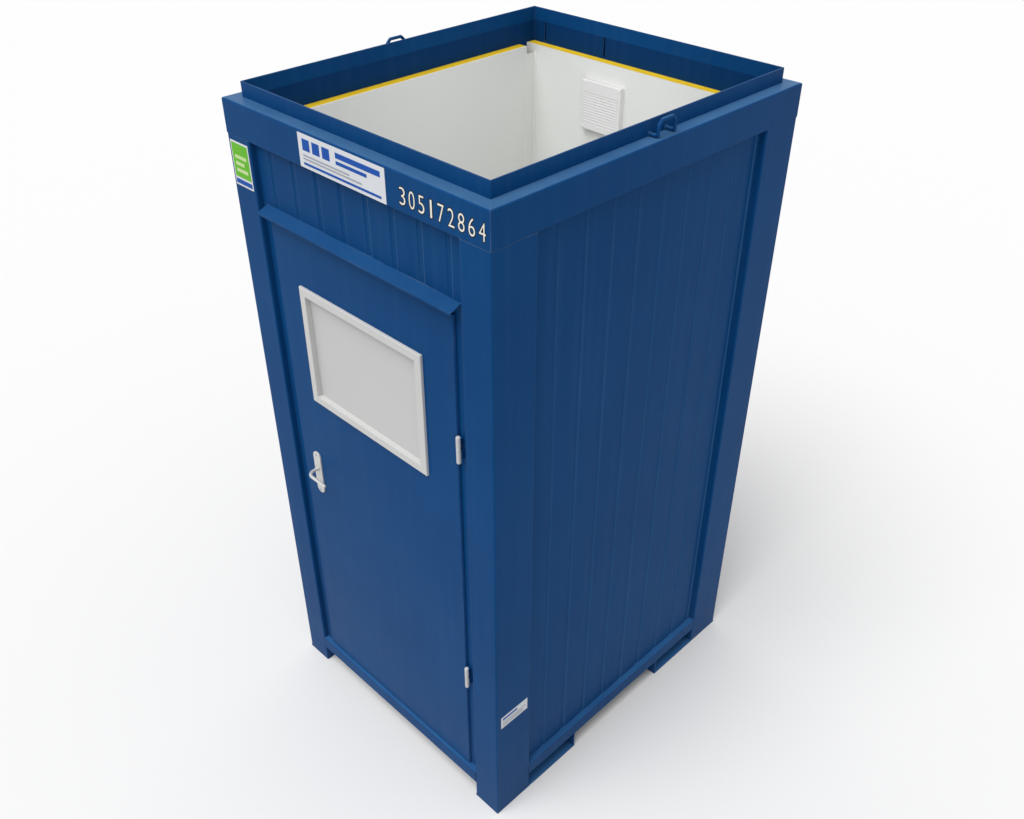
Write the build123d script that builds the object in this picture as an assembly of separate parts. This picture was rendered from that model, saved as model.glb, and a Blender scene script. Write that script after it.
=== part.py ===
from build123d import *
import math
import os

# Single toilet cabin in container form: a folded steel frame on low shoes, insulated walls,
# an outward door with a window, and the sanitary fittings inside. The top is open.
# Millimetres, +Z up. The origin is on the ground, at the centre of the whole outline in plan.

# Overall frame
cabin_width = 1200.0
cabin_depth = 1400.0
ledge_height = 2491.5
rail_height = 113.5
collar_rise = 48.5
wall_recess = 23.0

# Corner posts
post_front_width = 120.0
post_side_width = 173.0
post_wall = 3.0
post_lip = 40.0
post_bend = 6.0
foot_plate = 8.0

# Roof frame
ledge_width = 47.0
rail_wall = 3.0
rail_bend = 2.5
ledge_bend = 6.0
collar_wall = 4.0
slot_width = 7.0
slot_height = 71.0
slot_inset = 111.0
slot_spacing = 296.0

# Lifting eyes
eye_rod_radius = 5.5
eye_half_width = 38.0
eye_stand_off = 30.0
eye_rise = 44.0
eye_corner = 14.0
eye_bend = 6.0
eye_offset = 10.0

# Floor frame
sill_bottom = 80.0
sill_height = 60.0
sill_depth = 60.0
sill_wall = 3.0
sill_bend = 3.0
shoe_length = 265.0
shoe_wall = 5.0
joist_count = 5
joist_width = 40.0
joist_wall = 3.0
board_thickness = 22.0
covering_thickness = 3.0

# Walls
cladding_sheet = 0.8
groove_pitch = 116.4
groove_width = 26.0
groove_floor = 14.0
groove_depth = 3.0
groove_margin = 6.0
side_groove_shift = 35.0
front_groove_shift = 65.2
lining_face = 92.0
lining_sheet = 6.0
panel_drop = 77.5
lining_stop = 41.0
cover_sheet = 2.0
cover_leg = 12.0
cover_drop = 29.0
seat_gap = 0.3

# Door frame and leaf
jamb_width = 75.0
head_panel_height = 206.0
threshold_height = 15.0
stop_overlap = 8.0
leaf_side_gap = 5.5
leaf_foot_gap = 4.0
flange_overlap = 21.0
flange_head_overlap = 16.0
flange_foot_gap = 5.0
frame_rebate = 35.0
frame_wall = 2.0
frame_head = 53.5
door_recess = 11.0
flange_thickness = 10.0
leaf_body = 33.0
leaf_sheet = 1.0
leaf_bend = 2.0
seal_clearance = 0.3

# Hood over the door
hood_overhang = 25.0
hood_reach = 42.0
hood_drop = 16.0
hood_sheet = 2.0
hood_lip = 6.0
hood_flange = 25.0

# Window in the door
window_side_margin = 133.5
window_shift = -6.5
window_height = 450.0
window_drop = 415.0
window_band = 28.0
window_proud = 10.0
window_neck = 8.0
window_fit = 1.0
window_rim = 16.0
window_edge = 2.5
gasket_thickness = 2.0
pane_thickness = 6.0
bead_proud = 5.0

# Hinges
hinge_radius = 7.5
hinge_length = 100.0
hinge_foot_inset = 516.0
hinge_head_inset = 451.0
hinge_beside_leaf = 15.0
hinge_ahead = 9.0
hinge_pin_radius = 4.0
hinge_pin_length = 70.0
hinge_arm_height = 30.0
hinge_arm_inset = 14.0
hinge_arm_width = 12.0
hinge_arm_clearance = 3.0
hinge_split = 0.4
hinge_cap = 4.0
running_clearance = 0.06

# Handle and lock
handle_backset = 86.0
spindle_height = 1158.0
handle_plate_width = 42.0
handle_plate_height = 190.0
handle_plate_drop = 19.0
handle_plate_thickness = 6.0
handle_plate_edge = 1.5
lever_reach = 52.0
lever_reach_inside = 38.0
lever_length = 107.0
lever_radius = 6.0
lever_bend = 26.0
lever_tip = 2.0
neck_radius = 8.5
neck_length = 11.0
neck_seat = 4.0
spindle_side = 7.0
spindle_hole = 5.6
turn_drop = 72.0
turn_disc_radius = 9.0
turn_shaft_radius = 4.0
turn_knob_radius = 14.0
turn_knob_thickness = 8.0
turn_wing_length = 24.0
turn_wing_width = 6.0
turn_wing_height = 14.0
turn_slot_width = 2.0
turn_slot_depth = 1.5
case_depth = 76.0
case_height = 165.0
case_thickness = 18.0
case_wall = 2.5
case_inset = 14.0
forend_thickness = 3.0
forend_height = 210.0
bolt_height = 16.0
bolt_thickness = 11.0
bolt_clearance = 0.3
bolt_length = 37.0
latch_throw = 12.0
dead_bolt_throw = 14.0
strike_thickness = 1.5
strike_height = 150.0
strike_width = 26.0

# Fan in the rear wall
fan_place = -146.0
fan_drop = 124.0
fan_cover_side = 185.0
fan_cover_depth = 22.0
fan_cover_wall = 2.5
fan_grille_width = 165.0
fan_grille_height = 111.0
fan_grille_rise = -7.0
fan_slat_count = 11
fan_slat_thickness = 1.2
fan_slat_tilt = 10.0
fan_slat_cover = 0.86
fan_tube_radius = 50.0
fan_tube_wall = 3.0
fan_motor_radius = 20.0
fan_motor_length = 28.0
fan_ring_width = 3.0
fan_ring_length = 8.0
fan_arm_count = 3
fan_arm_width = 6.0
fan_shaft_radius = 3.0
fan_shaft_length = 24.0
fan_hub_radius = 14.0
fan_hub_length = 20.0
fan_hub_gap = 3.0
fan_blade_count = 6
fan_blade_reach = 46.0
fan_blade_width = 18.0
fan_blade_thickness = 2.0
fan_blade_pitch = 35.0
outlet_side = 150.0
outlet_frame = 10.0
outlet_depth = 14.0
outlet_back = 3.0
outlet_slat_count = 5
outlet_slat_thickness = 2.0
outlet_slat_tilt = 38.0
outlet_slat_cover = 1.15
slat_set_back = 0.4

# WC pan, seat and cistern
pan_width = 360.0
pan_length = 650.0
pan_height = 390.0
pan_slab = 40.0
pan_edge = 10.0
pan_wall = 12.0
pan_foot_width = 230.0
pan_foot_set_back = 90.0
pan_neck_width = 320.0
bowl_half_width = 120.0
bowl_half_length = 165.0
bowl_centre = 205.0
bowl_floor_half_width = 55.0
bowl_floor_half_length = 65.0
bowl_floor_shift = 35.0
bowl_depth = 200.0
outlet_height = 190.0
outlet_bore = 42.0
spigot_radius = 51.7
spigot_length = 30.0
pan_rear_gap = 30.0
seat_width = 356.0
seat_length = 420.0
seat_thickness = 17.0
seat_edge = 6.0
seat_opening_half_width = 110.0
seat_opening_half_length = 140.0
seat_pad_height = 4.0
seat_pad_radius = 9.0
seat_front_inset = 4.0
seat_lug_width = 24.0
seat_lug_radius = 9.0
seat_swing_gap = 3.0
seat_pin_radius = 5.0
seat_pin_half_spacing = 75.0
seat_post_width = 16.0
seat_axis_rise = 16.0
cistern_width = 380.0
cistern_depth = 140.0
cistern_height = 340.0
cistern_wall = 8.0
cistern_round = 14.0
cistern_edge = 6.0
button_radius = 20.0
button_lip = 3.0
button_height = 12.0
button_proud = 7.0
button_travel = 6.0
waste_pipe_radius = 55.0
waste_pipe_wall = 3.0
socket_radius = 55.4
socket_wall = 4.0
socket_length = 45.0
socket_set_back = 8.0
hole_clearance = 0.3

# Wash basin, tap and trap
basin_width = 350.0
basin_depth = 270.0
basin_height = 130.0
basin_rim_height = 850.0
basin_shift = -250.0
basin_bowl_half_width = 135.0
basin_bowl_half_depth = 88.0
basin_bowl_set_out = 155.0
basin_bowl_depth = 105.0
basin_bowl_floor = 50.0
basin_taper = 8.0
basin_edge = 7.0
tap_set_out = 38.0
tap_radius = 19.0
tap_height = 85.0
spout_radius = 9.0
spout_rise = 62.0
spout_reach = 105.0
spout_drop = 22.0
spout_bend = 14.0
tap_stem_radius = 7.0
tap_stem_height = 10.0
tap_cap_radius = 18.0
tap_cap_height = 16.0
tap_cap_gap = 0.3
tap_lever_length = 70.0
tap_lever_width = 12.0
tap_lever_thickness = 6.0
tap_edge = 2.0
drain_radius = 20.0
drain_flange = 30.0
drain_flange_thickness = 3.0
trap_tail_length = 70.0
trap_tail_radius = 16.0
trap_cup_radius = 30.0
trap_cup_height = 70.0
trap_outlet_radius = 16.0

# Paper holder and roll
holder_shift = 150.0
holder_height = 650.0
holder_plate_side = 60.0
holder_plate_thickness = 6.0
holder_arm_side = 12.0
holder_reach = 62.0
roll_radius = 52.0
roll_bore = 20.0
roll_width = 95.0
roll_gap = 1.0
roll_stop = 4.0
roll_stop_radius = 24.0

# Derived planes
half_width = cabin_width / 2
post_top = ledge_height - rail_height
collar_top = ledge_height + collar_rise
panel_top = ledge_height - panel_drop
lever_stand_out = lever_reach + lever_radius - door_recess
front = lever_stand_out - (cabin_depth + lever_stand_out) / 2
rear = front + cabin_depth
middle = (front + rear) / 2
post_edge = half_width - post_front_width
side_run = cabin_depth - 2 * post_side_width
front_run = cabin_width - 2 * post_front_width
sill_top = sill_bottom + sill_height
floor_top = sill_top + covering_thickness
collar_face = ledge_width + collar_wall
lining_back = lining_face - lining_sheet
insulation_back = wall_recess + groove_depth + cladding_sheet + seat_gap
inner_side = half_width - lining_face
inner_rear = rear - lining_face
inner_front = front + lining_face
stop_half = post_edge - jamb_width
leaf_half = stop_half + stop_overlap
rebate_half = leaf_half + leaf_side_gap
flange_half = leaf_half + flange_overlap
threshold_top = sill_top + threshold_height
frame_top = post_top - head_panel_height
rebate_top = frame_top - frame_head
leaf_top = rebate_top - leaf_side_gap
stop_top = leaf_top - stop_overlap
flange_top = leaf_top + flange_head_overlap
flange_bottom = sill_top + flange_foot_gap
leaf_bottom = threshold_top + leaf_foot_gap
hood_half_length = flange_half + hood_overhang
stop_plane = wall_recess + frame_rebate
flange_back = door_recess + flange_thickness
leaf_back = flange_back + leaf_body
hinge_heights = (flange_bottom + hinge_foot_inset, flange_top - hinge_head_inset)
hinge_x = flange_half + hinge_beside_leaf
hinge_y = front + door_recess - hinge_ahead
handle_x = -flange_half + handle_backset
turn_height = spindle_height - turn_drop
handle_plate_centre = spindle_height - handle_plate_drop
bolt_middle = flange_back + case_inset
fan_height = post_top - fan_drop
fan_hole = fan_tube_radius + fan_tube_wall + hole_clearance
waste_height = floor_top + outlet_height
waste_hole = socket_radius + socket_wall + hole_clearance
pan_top = floor_top + pan_height
pan_front = inner_rear - pan_length
bowl_rear = pan_front + bowl_centre + bowl_floor_shift
seat_axis_z = pan_top + seat_axis_rise
cistern_front = inner_rear - cistern_depth
cistern_top = pan_top + cistern_height
seat_axis_y = pan_front + seat_front_inset + seat_length
basin_top = floor_top + basin_rim_height
basin_y = middle + basin_shift
tap_x = inner_side - tap_set_out
roll_y = middle + holder_shift
roll_x = -inner_side + holder_reach
roll_z = floor_top + holder_height


def block(x0, x1, y0, y1, z0, z1):
    """Box between two opposite corners."""
    centre = Pos((x0 + x1) / 2, (y0 + y1) / 2, (z0 + z1) / 2)
    return centre * Box(abs(x1 - x0), abs(y1 - y0), abs(z1 - z0))


def rod_x(x0, x1, y, z, radius):
    """Round bar along X."""
    return Pos((x0 + x1) / 2, y, z) * Rot(0, 90, 0) * Cylinder(radius, abs(x1 - x0))


def rod_y(x, y0, y1, z, radius):
    """Round bar along Y."""
    return Pos(x, (y0 + y1) / 2, z) * Rot(90, 0, 0) * Cylinder(radius, abs(y1 - y0))


def rod_z(x, y, z0, z1, radius):
    """Round bar along Z."""
    return Pos(x, y, (z0 + z1) / 2) * Cylinder(radius, abs(z1 - z0))


def prism(points, z0, z1):
    """Upright prism on a plan outline."""
    face = make_face(Polyline(*points, close=True))
    return Pos(0, 0, z0) * extrude(face, z1 - z0, dir=(0, 0, 1))


def mirrored(piece):
    """The same piece on the other side of the cabin."""
    return mirror(piece, about=Plane.YZ)


def on_front(piece):
    """Place a wall piece drawn along X, with depth in Y from the outer face, at the front."""
    return Pos(0, front, 0) * piece


def on_rear(piece):
    """Place such a wall piece at the rear."""
    return Pos(0, rear, 0) * Rot(0, 0, 180) * piece


def on_right(piece):
    """Place such a wall piece on the right side."""
    return Pos(half_width, middle, 0) * Rot(0, 0, 90) * piece


def on_left(piece):
    """Place such a wall piece on the left side."""
    return Pos(-half_width, middle, 0) * Rot(0, 0, -90) * piece


def save(node, *pieces):
    """Write one node, a single solid or a group of separate ones."""
    solids = [solid for piece in pieces for solid in piece.solids()]
    shape = solids[0] if len(solids) == 1 else Compound(solids)
    export_step(shape, os.path.join("parts", node + ".step"))


# Frame

def corner_post():
    """Front right post: folded plate with two returned lips, on a foot plate."""
    side_end = front + post_side_width
    points = [
        (post_edge, front + post_lip),
        (post_edge, front),
        (half_width, front),
        (half_width, side_end),
        (half_width - post_lip, side_end),
        (half_width - post_lip, side_end - post_wall),
        (half_width - post_wall, side_end - post_wall),
        (half_width - post_wall, front + post_wall),
        (post_edge + post_wall, front + post_wall),
        (post_edge + post_wall, front + post_lip),
    ]
    post = prism(points, foot_plate, post_top)
    bends = [(post_edge, front), (half_width, front), (half_width, side_end)]
    edges = [
        edge
        for edge in post.edges().filter_by(Axis.Z)
        if any(math.dist((edge.center().X, edge.center().Y), bend) < post_wall / 4 for bend in bends)
    ]
    post = fillet(edges, post_bend)
    return post + block(post_edge, half_width, front, side_end, 0, foot_plate)


def mitred_bar(run, outer, inner, z0, z1):
    """Bar between two depths from the outer face, with its ends cut at 45 degrees."""
    long_half = run / 2 - outer
    short_half = run / 2 - inner
    points = [(-long_half, outer), (long_half, outer), (short_half, inner), (-short_half, inner)]
    return prism(points, z0, z1)


def roof_rail(run):
    """Channel with its open side to the collar, rounded along its outer folds."""
    rail = mitred_bar(run, 0, ledge_width, post_top, ledge_height)
    folds = rail.edges().filter_by(Axis.X).group_by(Axis.Y)[0].sort_by(Axis.Z)
    rail = fillet(folds[:1], rail_bend)
    folds = rail.edges().filter_by(Axis.X).group_by(Axis.Z)[-1].sort_by(Axis.Y)
    rail = fillet(folds[:1], ledge_bend)
    return rail - mitred_bar(run, rail_wall, ledge_width, post_top + rail_wall, ledge_height - rail_wall)


def collar_plate(run):
    """Upright plate behind a rail, from the rail's foot to above the ledge."""
    return mitred_bar(run, ledge_width, collar_face, post_top, collar_top)


def lifting_eye():
    """Bent rod on the right ledge: two feet against the collar and an open loop."""
    foot_z = ledge_height + eye_rod_radius + seat_gap
    loop_x = half_width - ledge_width + eye_stand_off
    collar_x = half_width - ledge_width
    top_z = foot_z + eye_rise
    near = middle + eye_offset - eye_half_width
    far = middle + eye_offset + eye_half_width
    path = FilletPolyline(
        (collar_x, near, foot_z),
        (loop_x, near, foot_z),
        (loop_x, near, top_z - eye_corner),
        (loop_x, near + eye_corner, top_z),
        (loop_x, far - eye_corner, top_z),
        (loop_x, far, top_z - eye_corner),
        (loop_x, far, foot_z),
        (collar_x, far, foot_z),
        radius=eye_bend,
    )
    start = Plane(origin=path @ 0, z_dir=path % 0)
    return sweep(start * Circle(eye_rod_radius), path=path)


def sill(run):
    """Rectangular tube along X with its outer face at zero depth."""
    tube = block(-run / 2, run / 2, 0, sill_depth, sill_bottom, sill_top)
    tube = fillet(tube.edges().filter_by(Axis.X), sill_bend)
    bore = block(
        -run / 2, run / 2, sill_wall, sill_depth - sill_wall, sill_bottom + sill_wall, sill_top - sill_wall
    )
    return tube - bore


def fork_shoe():
    """Front right shoe: bottom plate, inner web and end plate, open to the outside."""
    y0 = front + post_side_width
    y1 = y0 + shoe_length
    bottom = block(post_edge, half_width, y0, y1, 0, shoe_wall)
    web = block(post_edge, post_edge + shoe_wall, y0, y1, 0, sill_bottom)
    end = block(post_edge, half_width, y1 - shoe_wall, y1, 0, sill_bottom)
    return bottom + web + end


def front_to_rear(piece):
    """The same piece at the other end of the cabin."""
    return mirror(piece, about=Plane.XZ.offset(-middle))


def floor_joists():
    """Tubes across the cabin, between the side sills."""
    half = half_width - sill_depth
    top = sill_top - board_thickness
    room = cabin_depth - 2 * sill_depth - joist_width
    joists = []
    for index in range(joist_count):
        y = middle - room / 2 + room * index / (joist_count - 1)
        tube = block(-half, half, y - joist_width / 2, y + joist_width / 2, sill_bottom, top)
        bore = block(
            -half,
            half,
            y - joist_width / 2 + joist_wall,
            y + joist_width / 2 - joist_wall,
            sill_bottom + joist_wall,
            top - joist_wall,
        )
        joists.append(tube - bore)
    return joists


def floor_board():
    """Board inside the sills, on the joists."""
    half = half_width - sill_depth
    return block(-half, half, front + sill_depth, rear - sill_depth, sill_top - board_thickness, sill_top)


def floor_covering():
    """Sheet on the board, inside the linings and up to the threshold."""
    return block(-inner_side, inner_side, inner_front, inner_rear, sill_top, floor_top)


# Walls

def groove_centres(run, shift):
    """Groove places at an even pitch, as many as fit along a wall."""
    reach = (run - groove_width) / 2 - groove_margin
    first = math.ceil((-reach - shift) / groove_pitch)
    last = math.floor((reach - shift) / groove_pitch)
    return [shift + groove_pitch * index for index in range(first, last + 1)]


def grooved_sheet(run, centres, z0, z1):
    """Sheet along X with upright grooves pressed inwards from its outer face."""
    face = [(-run / 2, wall_recess)]
    for centre in centres:
        face.append((centre - groove_width / 2, wall_recess))
        face.append((centre - groove_floor / 2, wall_recess + groove_depth))
        face.append((centre + groove_floor / 2, wall_recess + groove_depth))
        face.append((centre + groove_width / 2, wall_recess))
    face.append((run / 2, wall_recess))
    back = [(x, depth + cladding_sheet) for x, depth in reversed(face)]
    return prism(face + back, z0, z1)


def side_cladding():
    """Right side sheet, between the posts."""
    centres = groove_centres(side_run, side_groove_shift)
    return on_right(grooved_sheet(side_run, centres, sill_top, post_top))


def rear_cladding():
    """Rear sheet with holes for the fan and the waste socket."""
    centres = groove_centres(front_run, groove_pitch / 2)
    sheet = on_rear(grooved_sheet(front_run, centres, sill_top, post_top))
    return sheet - rear_fan_hole() - rear_waste_hole()


def front_cladding():
    """Sheet above the door frame."""
    centres = groove_centres(front_run, front_groove_shift)
    return on_front(grooved_sheet(front_run, centres, frame_top, post_top))


def rear_fan_hole():
    """Round passage through the whole rear wall for the fan tube."""
    return rod_y(fan_place, inner_rear - lining_face, rear + lining_face, fan_height, fan_hole)


def rear_waste_hole():
    """Round passage through the whole rear wall for the waste socket."""
    return rod_y(0, inner_rear - lining_face, rear + lining_face, waste_height, waste_hole)


def side_insulation():
    """Right side slab between the posts, with a thinner inner layer that rises inside the collar."""
    slab = block(-side_run / 2, side_run / 2, insulation_back, lining_back, sill_top, post_top)
    end = cabin_depth / 2 - lining_face - lining_stop
    layer = block(-cabin_depth / 2 + lining_back, end, collar_face, lining_back, sill_top, panel_top)
    return on_right(slab + layer)


def rear_insulation():
    """Rear slab between the posts, with a wider inner layer that rises inside the collar."""
    slab = block(-front_run / 2, front_run / 2, insulation_back, lining_back, sill_top, post_top)
    half = half_width - collar_face
    layer = block(-half, half, collar_face, lining_back, sill_top, panel_top)
    return on_rear(slab + layer) - rear_fan_hole() - rear_waste_hole()


def front_insulation():
    """Slab above the door frame, with an inner layer that rises inside the collar."""
    slab = block(-front_run / 2, front_run / 2, insulation_back, lining_back, frame_top, post_top)
    half = half_width - collar_face
    layer = block(-half, half, collar_face, lining_back, frame_top, panel_top)
    return on_front(slab + layer)


def side_lining():
    """Right side board, stopping short of the rear corner."""
    end = cabin_depth / 2 - lining_face - lining_stop
    start = -cabin_depth / 2 + lining_face
    return on_right(block(start, end, lining_back, lining_face, sill_top, panel_top))


def rear_lining():
    """Rear board, the full width inside the collar."""
    half = half_width - collar_face
    board = on_rear(block(-half, half, lining_back, lining_face, sill_top, panel_top))
    return board - rear_fan_hole() - rear_waste_hole()


def front_lining():
    """Board above the door and a strip on each side of the door frame."""
    half = half_width - lining_back
    head = block(-half, half, lining_back, lining_face, frame_top, panel_top)
    strip = block(post_edge, half, lining_back, lining_face, sill_top, frame_top)
    return [on_front(head), on_front(strip), mirrored(on_front(strip))]


def corner_cover(y, into, reach):
    """Right corner angle of thin sheet against the side lining and an end wall."""
    top = panel_top - cover_drop
    side = block(inner_side - cover_sheet, inner_side, y, y + into * reach, floor_top, top)
    end = block(inner_side - cover_leg, inner_side, y, y + into * cover_sheet, floor_top, top)
    return side + end


# Door surround

def door_jamb():
    """Right jamb: a hollow rebated section with its stop at the inside."""
    rebate = block(rebate_half, post_edge, wall_recess, stop_plane, sill_top, frame_top)
    stop = block(stop_half, post_edge, stop_plane, lining_face, sill_top, frame_top)
    rebate_bore = block(
        rebate_half + frame_wall, post_edge - frame_wall, wall_recess + frame_wall, stop_plane - frame_wall,
        sill_top, frame_top,
    )
    stop_bore = block(
        stop_half + frame_wall, post_edge - frame_wall, stop_plane + frame_wall, lining_face - frame_wall,
        sill_top, frame_top,
    )
    return on_front(rebate + stop - rebate_bore - stop_bore)


def door_head():
    """Head of the frame, the same section between the jambs."""
    rebate = block(-rebate_half, rebate_half, wall_recess, stop_plane, rebate_top, frame_top)
    stop = block(-stop_half, stop_half, stop_plane, lining_face, stop_top, frame_top)
    rebate_bore = block(
        -rebate_half, rebate_half, wall_recess + frame_wall, stop_plane - frame_wall,
        rebate_top + frame_wall, frame_top - frame_wall,
    )
    stop_bore = block(
        -stop_half, stop_half, stop_plane + frame_wall, lining_face - frame_wall,
        stop_top + frame_wall, frame_top - frame_wall,
    )
    return on_front(rebate + stop - rebate_bore - stop_bore)


def door_threshold():
    """Bar on the front sill, between the jambs."""
    outer = block(-rebate_half, rebate_half, wall_recess, stop_plane, sill_top, threshold_top)
    inner = block(-stop_half, stop_half, stop_plane, lining_face, sill_top, threshold_top)
    return on_front(outer + inner)


def door_frame():
    """Two jambs, head and threshold. The left jamb has the bolt pockets."""
    pockets = strike_holes(rebate_half - strike_thickness, rebate_half + 2 * frame_wall)
    return [door_jamb(), mirrored(door_jamb()) - pockets, door_head(), door_threshold()]


def door_seal():
    """Strips on the stop that the leaf closes against."""
    face = leaf_back + seal_clearance
    side = block(stop_half, leaf_half, face, stop_plane, threshold_top, stop_top)
    head = block(-leaf_half, leaf_half, face, stop_plane, stop_top, leaf_top)
    return [on_front(side), mirrored(on_front(side)), on_front(head)]


def strike_holes(x0, x1):
    """Openings in the left jamb and strike plate for the latch and the dead bolt."""
    half_height = bolt_height / 2 + 2 * bolt_clearance
    half_thickness = bolt_thickness / 2 + 2 * bolt_clearance
    openings = [
        block(
            -x1, -x0, bolt_middle - half_thickness, bolt_middle + half_thickness,
            z - half_height, z + half_height,
        )
        for z in (spindle_height, turn_height)
    ]
    return on_front(openings[0] + openings[1])


def strike_plate():
    """Plate on the left jamb's inner face."""
    centre = (spindle_height + turn_height) / 2
    plate = block(
        -rebate_half, -rebate_half + strike_thickness,
        bolt_middle - strike_width / 2, bolt_middle + strike_width / 2,
        centre - strike_height / 2, centre + strike_height / 2,
    )
    return on_front(plate) - strike_holes(rebate_half - 2 * strike_thickness, rebate_half + frame_wall)


def door_hood():
    """Sloped drip hood: a fixing flange down the frame head, a sloped top and a front lip."""
    high = frame_top - hood_sheet / 2
    tip = wall_recess - hood_reach
    low = high - hood_drop
    inside = wall_recess - hood_sheet
    slope = hood_drop / hood_reach
    outline = [
        (wall_recess, high),
        (tip, low),
        (tip, low - hood_lip),
        (tip + hood_sheet, low - hood_lip),
        (tip + hood_sheet, low + slope * hood_sheet - hood_sheet),
        (inside, high - slope * hood_sheet - hood_sheet),
        (inside, high - hood_flange),
        (wall_recess, high - hood_flange),
    ]
    face = make_face(Polyline(*[(0, depth, z) for depth, z in outline], close=True))
    sheet = extrude(face, 2 * hood_half_length, dir=(1, 0, 0))
    return on_front(Pos(-hood_half_length, 0, 0) * sheet)


# Door leaf

def window_hole(half_x, half_z, depth0, depth1):
    """Rectangular prism through the door at the window."""
    return on_front(
        block(
            window_shift - half_x, window_shift + half_x, depth0, depth1,
            window_centre - half_z, window_centre + half_z,
        )
    )


def spindle_holes(depth0, depth1, radius):
    """Round holes for the lever spindle and the thumb turn."""
    return rod_y(handle_x, front + depth0, front + depth1, spindle_height, radius) + rod_y(
        handle_x, front + depth0, front + depth1, turn_height, radius
    )


window_centre = flange_top - window_drop
window_half_x = flange_half - window_side_margin
window_half_z = window_height / 2
sight_half_x = window_half_x - window_band
sight_half_z = window_half_z - window_band
cut_half_x = window_half_x - window_rim
cut_half_z = window_half_z - window_rim
pane_front = door_recess + window_neck + gasket_thickness


def door_outer_skin():
    """Folded outer sheet: face, edges and returned lips, open to the core behind."""
    tray = block(-flange_half, flange_half, door_recess, flange_back, flange_bottom, flange_top)
    tray = fillet(tray.edges().group_by(Axis.Y)[0], leaf_bend)
    skin = on_front(tray) - flange_filling() - leaf_filling()
    skin = skin - window_hole(cut_half_x, cut_half_z, 0, leaf_back)
    return skin - spindle_holes(0, leaf_back, spindle_hole)


def lock_room(grow):
    """Space of the lock case and its edge plate, larger by a clearance."""
    edge = -leaf_half
    case = block(
        edge, edge + forend_thickness + case_depth + grow,
        bolt_middle - case_thickness / 2 - grow, bolt_middle + case_thickness / 2 + grow,
        lock_middle - case_height / 2 - grow, lock_middle + case_height / 2 + grow,
    )
    forend = block(
        edge, edge + forend_thickness,
        bolt_middle - case_thickness / 2 - grow, bolt_middle + case_thickness / 2 + grow,
        lock_middle - forend_height / 2 - grow, lock_middle + forend_height / 2 + grow,
    )
    return on_front(case + forend)


lock_middle = (spindle_height + turn_height) / 2


def door_core():
    """Insulating core that fills the outer skin and forms the leaf's body."""
    core = flange_filling() + leaf_filling() - window_hole(cut_half_x, cut_half_z, 0, leaf_back)
    return core - spindle_holes(0, leaf_back, spindle_hole) - lock_room(bolt_clearance)


def flange_filling():
    """Space inside the outer skin's folded edges."""
    half = flange_half - leaf_sheet
    low = flange_bottom + leaf_sheet
    high = flange_top - leaf_sheet
    return on_front(block(-half, half, door_recess + leaf_sheet, flange_back - leaf_sheet, low, high))


def leaf_filling():
    """Space inside the inner skin's folded edges."""
    half = leaf_half - leaf_sheet
    low = leaf_bottom + leaf_sheet
    high = leaf_top - leaf_sheet
    return on_front(block(-half, half, flange_back - leaf_sheet, leaf_back - leaf_sheet, low, high))


def door_inner_skin():
    """Inner sheet with folded edges and the inside window bead, whose neck backs the pane."""
    sheet = on_front(block(-leaf_half, leaf_half, flange_back, leaf_back, leaf_bottom, leaf_top))
    sheet = sheet - leaf_filling() - lock_room(bolt_clearance)
    sheet = sheet - window_hole(cut_half_x, cut_half_z, 0, leaf_back)
    sheet = sheet - spindle_holes(0, leaf_back, spindle_hole)
    neck = window_hole(cut_half_x, cut_half_z, pane_front + pane_thickness, leaf_back)
    flange = window_hole(window_half_x, window_half_z, leaf_back, leaf_back + bead_proud)
    sight = window_hole(sight_half_x, sight_half_z, 0, 2 * leaf_back)
    return sheet + (neck + flange - sight)


def window_frame():
    """Outside frame on the door's face, with a neck into the cut-out."""
    flange = window_hole(window_half_x, window_half_z, door_recess - window_proud, door_recess)
    outer_edges = flange.edges().group_by(Axis.Y)[0]
    flange = fillet(outer_edges, window_edge)
    neck = window_hole(
        cut_half_x - window_fit, cut_half_z - window_fit, door_recess, door_recess + window_neck
    )
    return flange + neck - window_hole(sight_half_x, sight_half_z, -leaf_back, leaf_back)


def window_gasket():
    """Ring between the outside frame and the pane."""
    ring = window_hole(
        cut_half_x - window_fit, cut_half_z - window_fit, door_recess + window_neck, pane_front
    )
    return ring - window_hole(sight_half_x, sight_half_z, 0, leaf_back)


def window_pane():
    """Obscured pane held between gasket and inside bead."""
    half_x = cut_half_x - window_fit
    half_z = cut_half_z - window_fit
    return window_hole(half_x, half_z, pane_front, pane_front + pane_thickness)


# Hinges

def hinge_pieces(height):
    """Frame knuckle, door knuckle and pin of one lift-off hinge."""
    low = height - hinge_length / 2
    high = height + hinge_length / 2
    lower = rod_z(hinge_x, hinge_y, low, height - hinge_split / 2, hinge_radius)
    upper = rod_z(hinge_x, hinge_y, height + hinge_split / 2, high, hinge_radius)
    lower = fillet(lower.edges().group_by(Axis.Z)[0], hinge_cap)
    upper = fillet(upper.edges().group_by(Axis.Z)[-1], hinge_cap)
    frame_arm = block(
        hinge_x - hinge_arm_width / 2, hinge_x + hinge_arm_width / 2, hinge_y, front + wall_recess,
        low + hinge_arm_inset, low + hinge_arm_inset + hinge_arm_height,
    )
    door_arm = block(
        flange_half, hinge_x, hinge_y, front + wall_recess - hinge_arm_clearance,
        high - hinge_arm_inset - hinge_arm_height, high - hinge_arm_inset,
    )
    bore = rod_z(
        hinge_x, hinge_y, height - hinge_pin_length / 2, height + hinge_pin_length / 2,
        hinge_pin_radius + running_clearance,
    )
    pin = rod_z(
        hinge_x, hinge_y, height - hinge_pin_length / 2, height + hinge_pin_length / 2 - hinge_split,
        hinge_pin_radius,
    )
    return lower + frame_arm - bore, upper + door_arm - bore, pin


# Handle and lock

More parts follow.
